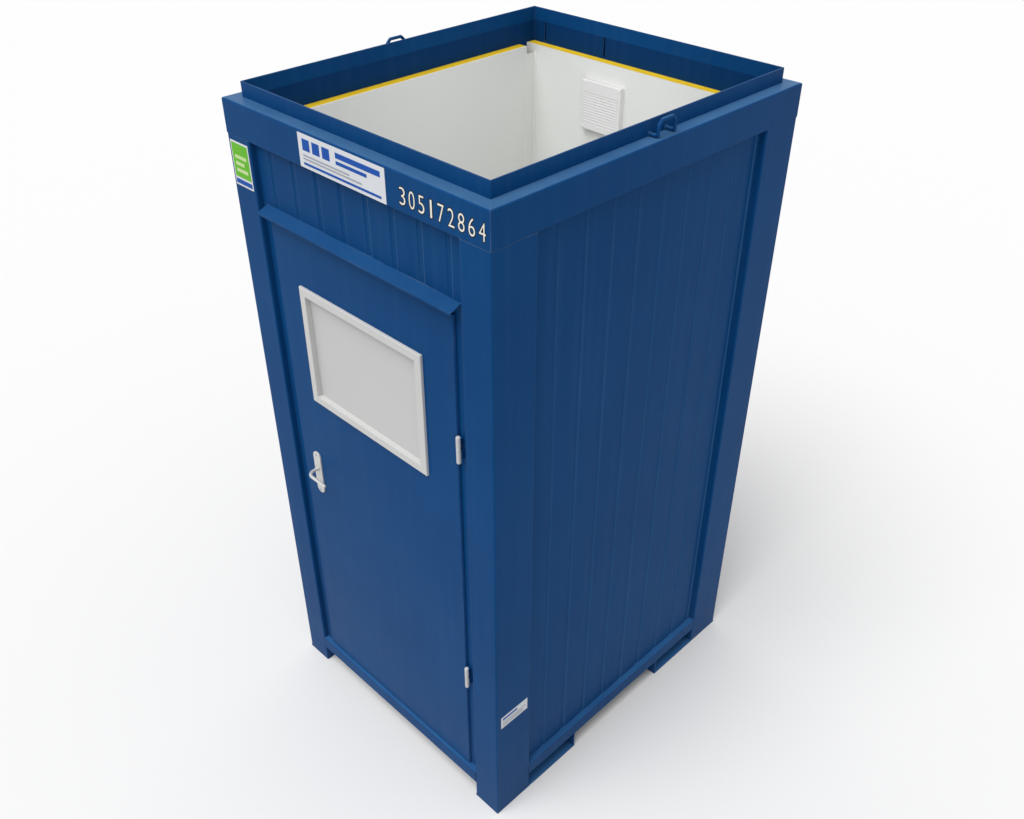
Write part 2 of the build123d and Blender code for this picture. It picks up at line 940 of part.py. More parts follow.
def handle_plate(depth0, depth1, face):
    """Long plate with round ends, bored for the lever's neck and the thumb turn."""
    outline = Plane.XZ * Rot(0, 0, 90) * SlotOverall(handle_plate_height, handle_plate_width)
    plate = extrude(outline, depth1 - depth0, dir=(0, 1, 0))
    plate = fillet(plate.edges().group_by(Axis.Y)[face], handle_plate_edge)
    plate = Pos(handle_x, front + depth0, handle_plate_centre) * plate
    neck = rod_y(handle_x, front + depth0, front + depth1, spindle_height, neck_radius + running_clearance)
    turn = rod_y(handle_x, front + depth0, front + depth1, turn_height, turn_disc_radius + running_clearance)
    return plate - neck - turn


plate_outside = door_recess - handle_plate_thickness
plate_inside = leaf_back + handle_plate_thickness


def lever(seat_depth, out, grip_depth):
    """Round lever: a neck seated in the plate, a bend and a grip towards the hinges."""
    seat_y = front + seat_depth
    grip_y = front + grip_depth
    path = FilletPolyline(
        (handle_x, seat_y, spindle_height),
        (handle_x, grip_y, spindle_height),
        (handle_x + lever_length, grip_y, spindle_height),
        radius=lever_bend,
    )
    start = Plane(origin=path @ 0, z_dir=path % 0)
    rod = sweep(start * Circle(lever_radius), path=path)
    rod = fillet(rod.edges().group_by(Axis.X)[-1], lever_tip)
    return rod + rod_y(handle_x, seat_y, seat_y + out * neck_length, spindle_height, neck_radius)


def spindle_bar(depth0, depth1, side):
    """Square bar through the door on the lever's axis."""
    return on_front(
        block(
            handle_x - side / 2, handle_x + side / 2, depth0, depth1,
            spindle_height - side / 2, spindle_height + side / 2,
        )
    )


def lever_outside():
    """Outside lever with the square spindle fixed in it."""
    seat = plate_outside + neck_seat
    return lever(seat, -1, door_recess - lever_reach) + spindle_bar(seat, plate_inside, spindle_side)


def lever_inside():
    """Inside lever, socketed on the spindle."""
    seat = plate_inside - neck_seat
    socket = spindle_bar(seat, plate_inside, spindle_side + 2 * running_clearance)
    return lever(seat, 1, leaf_back + lever_reach_inside) - socket


def thumb_turn():
    """Inside knob, shaft and the slotted release disc outside."""
    disc = rod_y(handle_x, front + plate_outside, front + door_recess, turn_height, turn_disc_radius)
    slot = on_front(
        block(
            handle_x - turn_disc_radius, handle_x + turn_disc_radius,
            plate_outside, plate_outside + turn_slot_depth,
            turn_height - turn_slot_width / 2, turn_height + turn_slot_width / 2,
        )
    )
    shaft = rod_y(handle_x, front + door_recess, front + leaf_back, turn_height, turn_shaft_radius)
    bearing = rod_y(handle_x, front + leaf_back, front + plate_inside, turn_height, turn_disc_radius)
    knob_start = plate_inside + seat_gap
    knob_end = knob_start + turn_knob_thickness
    knob = rod_y(handle_x, front + plate_inside, front + knob_end, turn_height, turn_disc_radius)
    knob = knob + rod_y(handle_x, front + knob_start, front + knob_end, turn_height, turn_knob_radius)
    wing = on_front(
        block(
            handle_x - turn_wing_length / 2, handle_x + turn_wing_length / 2,
            knob_end, knob_end + turn_wing_height,
            turn_height - turn_wing_width / 2, turn_height + turn_wing_width / 2,
        )
    )
    return disc - slot + shaft + bearing + knob + wing


def bolt_opening(z):
    """Hole in the lock's edge plate and case for one bolt."""
    half_height = bolt_height / 2 + bolt_clearance
    half_thickness = bolt_thickness / 2 + bolt_clearance
    return on_front(
        block(
            -leaf_half, -leaf_half + forend_thickness + case_wall,
            bolt_middle - half_thickness, bolt_middle + half_thickness, z - half_height, z + half_height,
        )
    )


def lock_case():
    """Mortise lock: edge plate and hollow case, open for the bolts, the spindle and the thumb turn."""
    edge = -leaf_half + forend_thickness
    hollow = on_front(
        block(
            edge + case_wall, edge + case_depth - case_wall,
            bolt_middle - case_thickness / 2 + case_wall, bolt_middle + case_thickness / 2 - case_wall,
            lock_middle - case_height / 2 + case_wall, lock_middle + case_height / 2 - case_wall,
        )
    )
    case = lock_room(0) - hollow - bolt_opening(spindle_height) - bolt_opening(turn_height)
    return case - spindle_holes(0, leaf_back, spindle_hole)


def lock_bolt(z, tip):
    """Square bolt along X with its tip at the given place."""
    return on_front(
        block(
            tip, tip + bolt_length, bolt_middle - bolt_thickness / 2, bolt_middle + bolt_thickness / 2,
            z - bolt_height / 2, z + bolt_height / 2,
        )
    )


# Fan

def slats(width, height, count, depth, thickness, lean, cover):
    """Tilted slats across an opening, drawn along X with their outer edges at zero depth."""
    pitch = height / count
    tilt = math.radians(lean)
    chord = min(pitch * cover, (depth - thickness) / math.sin(tilt))
    back = chord * math.sin(tilt) / 2 + thickness * math.cos(tilt) / 2
    rows = []
    for index in range(count):
        z = pitch * (index - (count - 1) / 2)
        rows.append(Pos(0, back, z) * Rot(90 - lean, 0, 0) * Box(width, chord, thickness))
    return rows


def fan_cover():
    """Square louvred cover on the rear lining, open at its back."""
    y0 = inner_rear - fan_cover_depth
    half = fan_cover_side / 2
    wall = fan_cover_wall
    shell = block(
        fan_place - half, fan_place + half, y0, inner_rear, fan_height - half, fan_height + half
    )
    shell = fillet(shell.edges().group_by(Axis.Y)[0], wall)
    hollow = block(
        fan_place - half + wall, fan_place + half - wall, y0 + wall, inner_rear,
        fan_height - half + wall, fan_height + half - wall,
    )
    grille_z = fan_height + fan_grille_rise
    opening = block(
        fan_place - fan_grille_width / 2, fan_place + fan_grille_width / 2, y0, y0 + wall,
        grille_z - fan_grille_height / 2, grille_z + fan_grille_height / 2,
    )
    cover = shell - hollow - opening
    rows = slats(
        fan_grille_width + wall, fan_grille_height, fan_slat_count, fan_cover_depth / 2,
        fan_slat_thickness, fan_slat_tilt, fan_slat_cover,
    )
    for slat in rows:
        cover = cover + Pos(fan_place, y0 + slat_set_back, grille_z) * slat
    return cover


def fan_outlet():
    """Tube through the rear wall with a louvred frame outside."""
    outer = rear - wall_recess
    tube = rod_y(fan_place, inner_rear, outer, fan_height, fan_tube_radius + fan_tube_wall)
    half = outlet_side / 2
    plate = block(
        fan_place - half, fan_place + half, outer, outer + outlet_depth, fan_height - half, fan_height + half
    )
    open_half = half - outlet_frame
    mouth = block(
        fan_place - open_half, fan_place + open_half, outer + outlet_back, outer + outlet_depth,
        fan_height - open_half, fan_height + open_half,
    )
    bore = rod_y(fan_place, inner_rear, outer + outlet_back, fan_height, fan_tube_radius)
    outlet = tube + (plate - mouth) - bore
    face = outer + outlet_depth - slat_set_back
    room = outlet_depth - outlet_back
    rows = slats(
        2 * open_half + outlet_frame, 2 * open_half, outlet_slat_count, room,
        outlet_slat_thickness, outlet_slat_tilt, outlet_slat_cover,
    )
    for slat in rows:
        outlet = outlet + Pos(fan_place, face, fan_height) * Rot(0, 0, 180) * slat
    return outlet


motor_front = inner_rear + fan_motor_length


def fan_motor():
    """Motor with its shaft, held in the tube by arms and a ring."""
    motor = rod_y(fan_place, inner_rear, motor_front, fan_height, fan_motor_radius)
    shaft = rod_y(fan_place, motor_front, motor_front + fan_shaft_length, fan_height, fan_shaft_radius)
    ring_radius = fan_tube_radius - hole_clearance
    ring_end = inner_rear + fan_ring_length
    ring = rod_y(fan_place, inner_rear, ring_end, fan_height, ring_radius)
    ring = ring - rod_y(fan_place, inner_rear, ring_end, fan_height, ring_radius - fan_ring_width)
    mount = motor + shaft + ring
    for index in range(fan_arm_count):
        angle = 360 * index / fan_arm_count
        length = ring_radius - fan_ring_width / 2
        arm = Pos(length / 2, fan_ring_length / 2, 0) * Box(length, fan_ring_length, fan_arm_width)
        mount = mount + Pos(fan_place, inner_rear, fan_height) * Rot(0, angle, 0) * arm
    return mount


def fan_impeller():
    """Hub with pitched blades on the motor's shaft."""
    start = motor_front + fan_hub_gap
    hub = rod_y(fan_place, start, start + fan_hub_length, fan_height, fan_hub_radius)
    blade_length = fan_blade_reach - fan_hub_radius + fan_hub_gap
    blade = Rot(fan_blade_pitch, 0, 0) * Box(blade_length, fan_blade_width, fan_blade_thickness)
    blade = Pos(fan_blade_reach - blade_length / 2, 0, 0) * blade
    impeller = hub
    for index in range(fan_blade_count):
        turn = Rot(0, 360 * index / fan_blade_count, 0)
        impeller = impeller + Pos(fan_place, start + fan_hub_length / 2, fan_height) * turn * blade
    bore = rod_y(fan_place, start, start + fan_hub_length, fan_height, fan_shaft_radius + running_clearance)
    return impeller - bore


# WC

def tombstone(width, front_y, rear_y):
    """Plan outline with a round front end and a square rear end."""
    radius = width / 2
    centre = front_y + radius
    nose = ThreePointArc((-radius, centre), (0, front_y), (radius, centre))
    sides = Polyline((radius, centre), (radius, rear_y), (-radius, rear_y), (-radius, centre))
    return make_face(nose + sides)


def soft_rim(slab, edge, rear_y):
    """Slab with its upper and lower rims rounded, apart from those on its rear face."""
    rims = slab.edges().group_by(Axis.Z)[0] + slab.edges().group_by(Axis.Z)[-1]
    return fillet([rim for rim in rims if rim.center().Y < rear_y - edge], edge)


def wc_pan():
    """Floor-standing pan, hollow under its bowl, with a horizontal outlet spigot."""
    rear_y = inner_rear - pan_rear_gap
    neck_top = pan_top - pan_slab
    slab = extrude(tombstone(pan_width, pan_front, inner_rear), pan_slab, dir=(0, 0, 1))
    slab = Pos(0, 0, neck_top) * soft_rim(slab, pan_edge, inner_rear)
    pedestal = pan_pedestal(rear_y, neck_top, 0) - pan_pedestal(rear_y, neck_top, pan_wall)
    bowl_wall = pan_bowl(pan_wall) + rod_y(0, bowl_rear, rear_y, waste_height, outlet_bore + pan_wall)
    spigot = rod_y(0, rear_y - pan_slab, rear_y + spigot_length, waste_height, spigot_radius)
    outlet = rod_y(0, bowl_rear, rear_y + spigot_length, waste_height, outlet_bore)
    return slab + pedestal + bowl_wall + spigot - pan_bowl(0) - outlet


def pan_pedestal(rear_y, top, inset):
    """Flared foot of the pan, or the hollow inside it when inset."""
    foot = tombstone(pan_foot_width - 2 * inset, pan_front + pan_foot_set_back + inset, rear_y - inset)
    neck = tombstone(pan_neck_width - 2 * inset, pan_front + pan_slab / 2 + inset, rear_y - inset)
    return loft([Pos(0, 0, floor_top) * foot, Pos(0, 0, top) * neck], ruled=True)


def pan_bowl(grow):
    """Bowl space, or the outside of its wall when grown."""
    mouth = Ellipse(bowl_half_width + grow, bowl_half_length + grow)
    mouth = Pos(0, pan_front + bowl_centre, pan_top) * mouth
    floor = Ellipse(bowl_floor_half_width + grow, bowl_floor_half_length + grow)
    return loft([Pos(0, bowl_rear, pan_top - bowl_depth - grow) * floor, mouth])


def wc_seat():
    """Seat ring with pads under it and two lugs on the hinge pins."""
    front_y = pan_front + seat_front_inset
    bottom = pan_top + seat_pad_height
    ring_rear = seat_axis_y - seat_lug_radius - seat_swing_gap
    ring = extrude(tombstone(seat_width, front_y, ring_rear), seat_thickness, dir=(0, 0, 1))
    hole = extrude(Ellipse(seat_opening_half_width, seat_opening_half_length), seat_thickness, dir=(0, 0, 1))
    ring = ring - Pos(0, pan_front + bowl_centre, 0) * hole
    ring = fillet(ring.edges().group_by(Axis.Z)[-1], seat_edge)
    seat = Pos(0, 0, bottom) * ring
    for x in (-1, 1):
        lug_x = x * seat_pin_half_spacing
        lug_start = lug_x - seat_lug_width / 2
        lug_end = lug_x + seat_lug_width / 2
        lug = rod_x(lug_start, lug_end, seat_axis_y, seat_axis_z, seat_lug_radius)
        bridge = block(
            lug_start, lug_end, ring_rear - seat_lug_radius, seat_axis_y,
            bottom + seat_pad_height, bottom + seat_thickness,
        )
        seat = seat + lug + bridge
        for y in (front_y + seat_width / 2, ring_rear - 2 * seat_pad_radius):
            pad = rod_z(
                x * (seat_width / 2 - 2 * seat_pad_radius), y, pan_top + seat_gap, bottom, seat_pad_radius
            )
            seat = seat + pad
    bores = rod_x(-seat_width, seat_width, seat_axis_y, seat_axis_z, seat_pin_radius + running_clearance)
    return seat - bores


def seat_hinge():
    """Two brackets on the pan's deck, each with a pin through the seat's lug."""
    brackets = []
    for side in (-1, 1):
        inner_x = side * (seat_pin_half_spacing - seat_lug_width / 2 - seat_gap)
        post_x = inner_x - side * seat_post_width
        outer_x = side * (seat_pin_half_spacing + seat_lug_width / 2)
        near = seat_axis_y - seat_lug_radius
        far = seat_axis_y + seat_lug_radius
        post = block(post_x, inner_x, near, far, pan_top, seat_axis_z)
        head = rod_x(post_x, inner_x, seat_axis_y, seat_axis_z, seat_lug_radius)
        brackets.append(post + head + rod_x(post_x, outer_x, seat_axis_y, seat_axis_z, seat_pin_radius))
    return brackets


def cistern():
    """Hollow tank on the pan's deck, with a round hole for the button."""
    tank = block(-cistern_width / 2, cistern_width / 2, cistern_front, inner_rear, pan_top, cistern_top)
    uprights = tank.edges().filter_by(Axis.Z).group_by(Axis.Y)[0]
    tank = fillet(uprights, cistern_round)
    rim = tank.edges().group_by(Axis.Z)[-1]
    tank = fillet([edge for edge in rim if edge.center().Y < inner_rear - cistern_round / 2], cistern_edge)
    hollow = block(
        -cistern_width / 2 + cistern_wall, cistern_width / 2 - cistern_wall,
        cistern_front + cistern_wall, inner_rear - cistern_wall,
        pan_top + cistern_wall, cistern_top - cistern_wall,
    )
    hole = rod_z(0, button_y, cistern_top - cistern_wall, cistern_top, button_radius + seat_gap)
    return tank - hollow - hole


button_y = (cistern_front + inner_rear) / 2


def flush_button():
    """Push button with a lip that keeps it under the tank's top."""
    top = cistern_top + button_proud
    head = rod_z(0, button_y, cistern_top - cistern_wall - button_height, top, button_radius)
    lip_top = cistern_top - cistern_wall - seat_gap
    lip = rod_z(0, button_y, lip_top - button_lip, lip_top, button_radius + button_lip)
    return head + lip


def waste_pipe():
    """Pipe from the pan's spigot through the rear wall, with a push-fit socket at the rear."""
    spigot_end = inner_rear - pan_rear_gap + spigot_length
    start = spigot_end - spigot_length / 2
    end = rear - wall_recess - socket_set_back
    socket_start = end - socket_length
    pipe = rod_y(0, start, socket_start + socket_wall, waste_height, waste_pipe_radius)
    socket = rod_y(0, socket_start, end, waste_height, socket_radius + socket_wall)
    bore = rod_y(0, start, end, waste_height, waste_pipe_radius - waste_pipe_wall)
    mouth = rod_y(0, socket_start + socket_wall, end, waste_height, socket_radius)
    return pipe + socket - bore - mouth


# Wash basin

def basin_outline(width, reach):
    """Plan outline of the basin from behind the right lining's face, round at its free end."""
    radius = width / 2
    nose_x = inner_side - reach
    shoulder = nose_x + radius
    nose = ThreePointArc((shoulder, basin_y + radius), (nose_x, basin_y), (shoulder, basin_y - radius))
    sides = Polyline(
        (shoulder, basin_y - radius), (inner_side + basin_height, basin_y - radius),
        (inner_side + basin_height, basin_y + radius), (shoulder, basin_y + radius),
    )
    return make_face(nose + sides)


def wash_basin():
    """Wall basin with a round bowl and a drain hole."""
    body = Pos(0, 0, basin_top) * extrude(
        basin_outline(basin_width, basin_depth), basin_height, dir=(0, 0, -1), taper=basin_taper
    )
    bowl_x = inner_side - basin_bowl_set_out
    mouth = Pos(bowl_x, basin_y, basin_top) * Ellipse(basin_bowl_half_depth, basin_bowl_half_width)
    floor = Pos(bowl_x, basin_y, basin_top - basin_bowl_depth) * Circle(basin_bowl_floor)
    bowl = loft([floor, mouth])
    body = fillet(body.edges().group_by(Axis.Z)[-1], basin_edge)
    bottom = basin_top - basin_height
    drain = rod_z(bowl_x, basin_y, bottom, basin_top - basin_bowl_depth, drain_radius + hole_clearance)
    wall_side = block(
        inner_side, inner_side + basin_depth, basin_y - basin_width, basin_y + basin_width, bottom, basin_top
    )
    return body - bowl - drain - wall_side


def tap_body():
    """Pillar with a bent spout over the bowl and a stem for the lever."""
    pillar = rod_z(tap_x, basin_y, basin_top, basin_top + tap_height, tap_radius)
    spout_z = basin_top + spout_rise
    path = FilletPolyline(
        (tap_x, basin_y, spout_z),
        (tap_x - spout_reach, basin_y, spout_z),
        (tap_x - spout_reach, basin_y, spout_z - spout_drop),
        radius=spout_bend,
    )
    start = Plane(origin=path @ 0, z_dir=path % 0)
    spout = sweep(start * Circle(spout_radius), path=path)
    stem = rod_z(
        tap_x, basin_y, basin_top + tap_height, basin_top + tap_height + tap_stem_height, tap_stem_radius
    )
    return pillar + spout + stem


def tap_lever():
    """Cap on the stem with a flat lever towards the room."""
    low = basin_top + tap_height + tap_cap_gap
    cap = rod_z(tap_x, basin_y, low, low + tap_cap_height, tap_cap_radius)
    cap = fillet(cap.edges().group_by(Axis.Z)[-1], tap_edge)
    bar = block(
        tap_x - tap_lever_length, tap_x, basin_y - tap_lever_width / 2, basin_y + tap_lever_width / 2,
        low + tap_cap_height - tap_lever_thickness, low + tap_cap_height,
    )
    socket = rod_z(
        tap_x, basin_y, low, basin_top + tap_height + tap_stem_height + tap_cap_gap,
        tap_stem_radius + running_clearance,
    )
    return cap + bar - socket


def basin_trap():
    """Drain flange, tail pipe, bottle and outlet pipe to the wall."""
    x = inner_side - basin_bowl_set_out
    bowl_floor = basin_top - basin_bowl_depth
    basin_bottom = basin_top - basin_height
    flange = rod_z(x, basin_y, bowl_floor, bowl_floor + drain_flange_thickness, drain_flange)
    neck = rod_z(x, basin_y, basin_bottom, bowl_floor, drain_radius)
    nut = rod_z(x, basin_y, basin_bottom - drain_flange_thickness, basin_bottom, drain_flange)
    cup_top = basin_bottom - trap_tail_length
    tail = rod_z(x, basin_y, cup_top, basin_bottom, trap_tail_radius)
    cup = rod_z(x, basin_y, cup_top - trap_cup_height, cup_top, trap_cup_radius)
    outlet = rod_x(x, inner_side, basin_y, cup_top - trap_cup_radius, trap_outlet_radius)
    return flange + neck + nut + tail + cup + outlet


# Paper holder

def paper_holder():
    """Wall plate, arm and round spindle along the wall."""
    start = roll_y - roll_width / 2 - roll_gap - roll_stop
    plate_half = holder_plate_side / 2
    plate = block(
        -inner_side, -inner_side + holder_plate_thickness,
        start - holder_plate_side / 2, start + holder_arm_side, roll_z - plate_half, roll_z + plate_half,
    )
    arm = block(
        -inner_side, roll_x + holder_arm_side / 2, start - holder_arm_side, start,
        roll_z - holder_arm_side / 2, roll_z + holder_arm_side / 2,
    )
    stop = rod_y(roll_x, start - holder_arm_side, start + roll_stop, roll_z, roll_stop_radius)
    spindle = rod_y(roll_x, start, roll_y + roll_width / 2, roll_z, roll_bore - running_clearance)
    return plate + arm + stop + spindle


def paper_roll():
    """Paper roll on the spindle."""
    roll = rod_y(roll_x, roll_y - roll_width / 2, roll_y + roll_width / 2, roll_z, roll_radius)
    return roll - rod_y(roll_x, roll_y - roll_width / 2, roll_y + roll_width / 2, roll_z, roll_bore)


def save_frame():
    """Posts, roof frame, lifting eyes and floor."""
    post = corner_post()
    save("corner_post_front_right", post)
    save("corner_post_front_left", mirrored(post))
    save("corner_post_rear_right", front_to_rear(post))
    save("corner_post_rear_left", mirrored(front_to_rear(post)))
    save("roof_rail_front", on_front(roof_rail(cabin_width)))
    save("roof_rail_rear", on_rear(roof_rail(cabin_width)))
    save("roof_rails_side", on_left(roof_rail(cabin_depth)), on_right(roof_rail(cabin_depth)))
    rear_collar = on_rear(collar_plate(cabin_width))
    for place in (slot_inset, slot_inset + slot_spacing):
        slot_x = place - half_width
        rear_collar = rear_collar - block(
            slot_x - slot_width / 2, slot_x + slot_width / 2, rear - collar_face, rear - ledge_width,
            ledge_height - slot_height, ledge_height,
        )
    save(
        "roof_collar",
        on_front(collar_plate(cabin_width)),
        rear_collar,
        on_left(collar_plate(cabin_depth)),
        on_right(collar_plate(cabin_depth)),
    )
    eye = lifting_eye()
    save("lifting_eyes", eye, mirrored(front_to_rear(eye)))
    save("floor_sills", on_front(sill(front_run)), on_rear(sill(front_run)), on_left(sill(side_run)),
         on_right(sill(side_run)))
    shoe = fork_shoe()
    save("fork_shoes", shoe, mirrored(shoe), front_to_rear(shoe), mirrored(front_to_rear(shoe)))
    save("floor_joists", *floor_joists())
    save("floor_board", floor_board())
    save("floor_covering", floor_covering())


def save_walls():
    """Cladding, insulation, linings and corner covers."""
    save("cladding_sides", side_cladding(), mirrored(side_cladding()))
    save("cladding_rear", rear_cladding())
    save("cladding_front", front_cladding())
    save("insulation_sides", side_insulation(), mirrored(side_insulation()))
    save("insulation_rear", rear_insulation())
    save("insulation_front", front_insulation())
    save("lining_sides", side_lining(), mirrored(side_lining()))
    save("lining_rear", rear_lining())
    save("lining_front", *front_lining())
    front_cover = corner_cover(inner_front, 1, cover_leg)
    rear_cover = corner_cover(inner_rear, -1, lining_stop + cover_leg / 2)
    save("corner_covers", front_cover, mirrored(front_cover), rear_cover, mirrored(rear_cover))


def save_door():
    """Door frame, hood, leaf, window, hinges, handle and lock."""
    save("door_hood", door_hood())
    save("door_frame", *door_frame())
    save("door_seal", *door_seal())
    save("strike_plate", strike_plate())
    save("door_outer_skin", door_outer_skin())
    save("door_core", door_core())
    save("door_inner_skin", door_inner_skin())
    save("window_frame", window_frame())
    save("window_gasket", window_gasket())
    save("window_pane", window_pane())
    hinges = [hinge_pieces(height) for height in hinge_heights]
    save("hinge_frame_knuckles", *[hinge[0] for hinge in hinges])
    save("hinge_door_knuckles", *[hinge[1] for hinge in hinges])
    save("hinge_pins", *[hinge[2] for hinge in hinges])
    outside_plate = handle_plate(plate_outside, door_recess, 0)
    save("handle_plates", outside_plate, handle_plate(leaf_back, plate_inside, -1))
    save("lever_outside", lever_outside())
    save("lever_inside", lever_inside())
    save("thumb_turn", thumb_turn())
    save("lock_case", lock_case())
    save("latch_bolt", lock_bolt(spindle_height, -leaf_half - latch_throw))
    save("dead_bolt", lock_bolt(turn_height, -leaf_half + bolt_clearance))


def save_fittings():
    """Fan, WC, wash basin and paper holder."""
    save("fan_cover", fan_cover())
    save("fan_outlet", fan_outlet())
    save("fan_motor", fan_motor())
    save("fan_impeller", fan_impeller())
    save("wc_pan", wc_pan())
    save("wc_seat", wc_seat())
    save("seat_hinge", *seat_hinge())
    save("cistern", cistern())
    save("flush_button", flush_button())
    save("waste_pipe", waste_pipe())
    save("wash_basin", wash_basin())
    save("tap_body", tap_body())
    save("tap_lever", tap_lever())
    save("basin_trap", basin_trap())
    save("paper_holder", paper_holder())
    save("paper_roll", paper_roll())


os.makedirs("parts", exist_ok=True)
save_frame()
save_walls()
save_door()
save_fittings()
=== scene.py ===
"""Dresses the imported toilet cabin: finishes, signs, fasteners, small fittings, light and camera."""

import logging
import math
from dataclasses import dataclass, replace
from enum import Enum
from functools import reduce
from typing import Callable, Optional, Sequence

import bpy
from mathutils import Matrix, Vector


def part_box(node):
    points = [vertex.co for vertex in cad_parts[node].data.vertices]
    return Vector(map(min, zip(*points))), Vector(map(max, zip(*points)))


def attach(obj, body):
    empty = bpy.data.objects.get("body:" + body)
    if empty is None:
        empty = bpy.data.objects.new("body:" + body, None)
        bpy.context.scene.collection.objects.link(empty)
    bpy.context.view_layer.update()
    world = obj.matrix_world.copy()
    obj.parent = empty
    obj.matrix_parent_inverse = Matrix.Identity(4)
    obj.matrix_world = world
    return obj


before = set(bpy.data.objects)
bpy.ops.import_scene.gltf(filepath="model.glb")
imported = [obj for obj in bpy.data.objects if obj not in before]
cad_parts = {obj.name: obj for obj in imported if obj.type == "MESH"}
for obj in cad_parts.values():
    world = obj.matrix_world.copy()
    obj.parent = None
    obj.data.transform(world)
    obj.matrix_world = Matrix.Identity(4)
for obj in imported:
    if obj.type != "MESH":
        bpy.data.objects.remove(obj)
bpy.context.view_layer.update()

LOG = logging.getLogger("cabin")

Colour = tuple[float, float, float]
Point = tuple[float, float, float]
Area = tuple[float, float, float, float]
Tree = bpy.types.NodeTree
Socket = bpy.types.NodeSocket
Piece = bpy.types.Object


class Pattern(Enum):
    """Small relief that a finish carries."""

    PEEL = "sprayed_peel"
    PORES = "foam_pores"
    BRUSHED = "brushed_lines"
    STUDS = "floor_studs"
    FIBRES = "board_fibres"
    RIPPLE = "obscured_ripple"
    SMOOTH = "moulded_skin"


class Facing(Enum):
    """Outward direction of a face that a small piece is set on."""

    FRONT = (0.0, -1.0, 0.0)
    REAR = (0.0, 1.0, 0.0)
    RIGHT = (1.0, 0.0, 0.0)
    LEFT = (-1.0, 0.0, 0.0)

    def turn(self) -> Matrix:
        """Rotation that takes +Z to this direction."""
        return Vector((0.0, 0.0, 1.0)).rotation_difference(Vector(self.value)).to_matrix().to_4x4()


def linear(colour: Colour) -> tuple[float, float, float, float]:
    """Turn a display colour into a linear one.

    Args:
        colour: red, green and blue from 0 to 255.

    Returns:
        Linear red, green and blue from 0 to 1, and full alpha.
    """
    shares = [channel / 255.0 for channel in colour]
    values = [s / 12.92 if s <= 0.04045 else ((s + 0.055) / 1.055) ** 2.4 for s in shares]
    return values[0], values[1], values[2], 1.0


class Wiring:
    """Adds nodes to one shader tree and links them."""

    MIX_FIRST, MIX_SECOND, MIX_RESULT = 6, 7, 2

    def __init__(self, tree: Optional[Tree] = None) -> None:
        """Keep the tree, or start without one."""
        self.tree = tree

    def fill(self, node: bpy.types.Node, feeds: dict) -> None:
        """Feed some inputs of a node.

        Args:
            node: node to feed.
            feeds: names or numbers of inputs, with a socket, number, vector or colour for each.
        """
        for label, value in feeds.items():
            if isinstance(value, Socket):
                self.tree.links.new(value, node.inputs[label])
            else:
                node.inputs[label].default_value = value

    def add(self, kind: str, output: str | int, feeds: dict, **settings: object) -> Socket:
        """Add a node, set it up and feed its inputs.

        Args:
            kind: type of the node.
            output: name or number of the output wanted.
            feeds: inputs to feed, as in fill.
            settings: properties of the node.

        Returns:
            The output wanted.
        """
        node = self.tree.nodes.new(kind)
        for label, value in settings.items():
            setattr(node, label, value)
        self.fill(node, feeds)
        return node.outputs[output]

    def maths(self, kind: str, *values: object, clamp: bool = False) -> Socket:
        """Add a Math node on sockets or numbers."""
        return self.add("ShaderNodeMath", 0, dict(enumerate(values)), operation=kind, use_clamp=clamp)

    def ramp(self, value: Socket, slope: float, start: float) -> Socket:
        """Stretch a value and keep it from 0 to 1."""
        return self.maths("MULTIPLY_ADD", value, slope, start, clamp=True)

    def product(self, *values: object) -> Socket:
        """Multiply values one after another."""
        return reduce(lambda total, value: self.maths("MULTIPLY", total, value), values)

    def vectors(self, kind: str, output: str, *values: object) -> Socket:
        """Add a Vector Math node on sockets or vectors."""
        return self.add("ShaderNodeVectorMath", output, dict(enumerate(values)), operation=kind)

    def height(self, vector: Socket) -> Socket:
        """Take the Z share of a vector."""
        return self.add("ShaderNodeSeparateXYZ", "Z", {0: vector})

    def noise(self, vector: Socket, cells: object, octaves: float) -> Socket:
        """Add a noise texture with so many cells per metre."""
        return self.add("ShaderNodeTexNoise", "Fac", {"Vector": vector, "Scale": cells, "Detail": octaves})

    def mix(self, amount: Socket, first: object, second: object) -> Socket:
        """Mix two colours, the amount being the share of the second."""
        feeds = {"Factor": amount, self.MIX_FIRST: first, self.MIX_SECOND: second}
        return self.add("ShaderNodeMix", self.MIX_RESULT, feeds, data_type="RGBA")


class SharedGroup(Wiring):
    """Shader node group that finishes share, built when the first of them asks for it."""

    KINDS = {label: "NodeSocketColor" for label in ("Colour", "Shade", "Pale", "Beyond")}
    KINDS |= {label: "NodeSocketVector" for label in ("Vector", "Across", "Centre", "Axes")}
    name: str
    inputs: str
    outputs = "Colour"

    def built(self) -> Tree:
        """Build the group if that isn't done yet.

        Returns:
            The group's tree.
        """
        if self.tree is None:
            self.tree = bpy.data.node_groups.new(self.name, "ShaderNodeTree")
            for way, labels in (("INPUT", self.inputs), ("OUTPUT", self.outputs)):
                for label in labels.split():
                    kind = self.KINDS.get(label, "NodeSocketFloat")
                    self.tree.interface.new_socket(name=label, in_out=way, socket_type=kind)
            self.reads = self.tree.nodes.new("NodeGroupInput").outputs
            self.place = self.reads["Vector"]
            self.sink = self.tree.nodes.new("NodeGroupOutput")
            self.wire()
        return self.tree

    def wire(self) -> None:
        """Add and link the group's nodes, which each group does in its own way."""
        raise NotImplementedError

    def tint(self, amount: Socket, second: object) -> None:
        """Give out the colour that came in, with a share of a second one."""
        self.fill(self.sink, {"Colour": self.mix(amount, self.reads["Colour"], second)})


class ToneDrift(SharedGroup):
    """Slow colour drift over a large surface."""

    name = "tone_drift"
    inputs = "Vector Colour Shade Scale"
    octaves = 4.0
    contrast = (2.2, -0.6)

    def wire(self) -> None:
        """Mix the two colours by a wide noise."""
        wide = self.noise(self.place, self.reads["Scale"], self.octaves)
        self.tint(self.ramp(wide, *self.contrast), self.reads["Shade"])


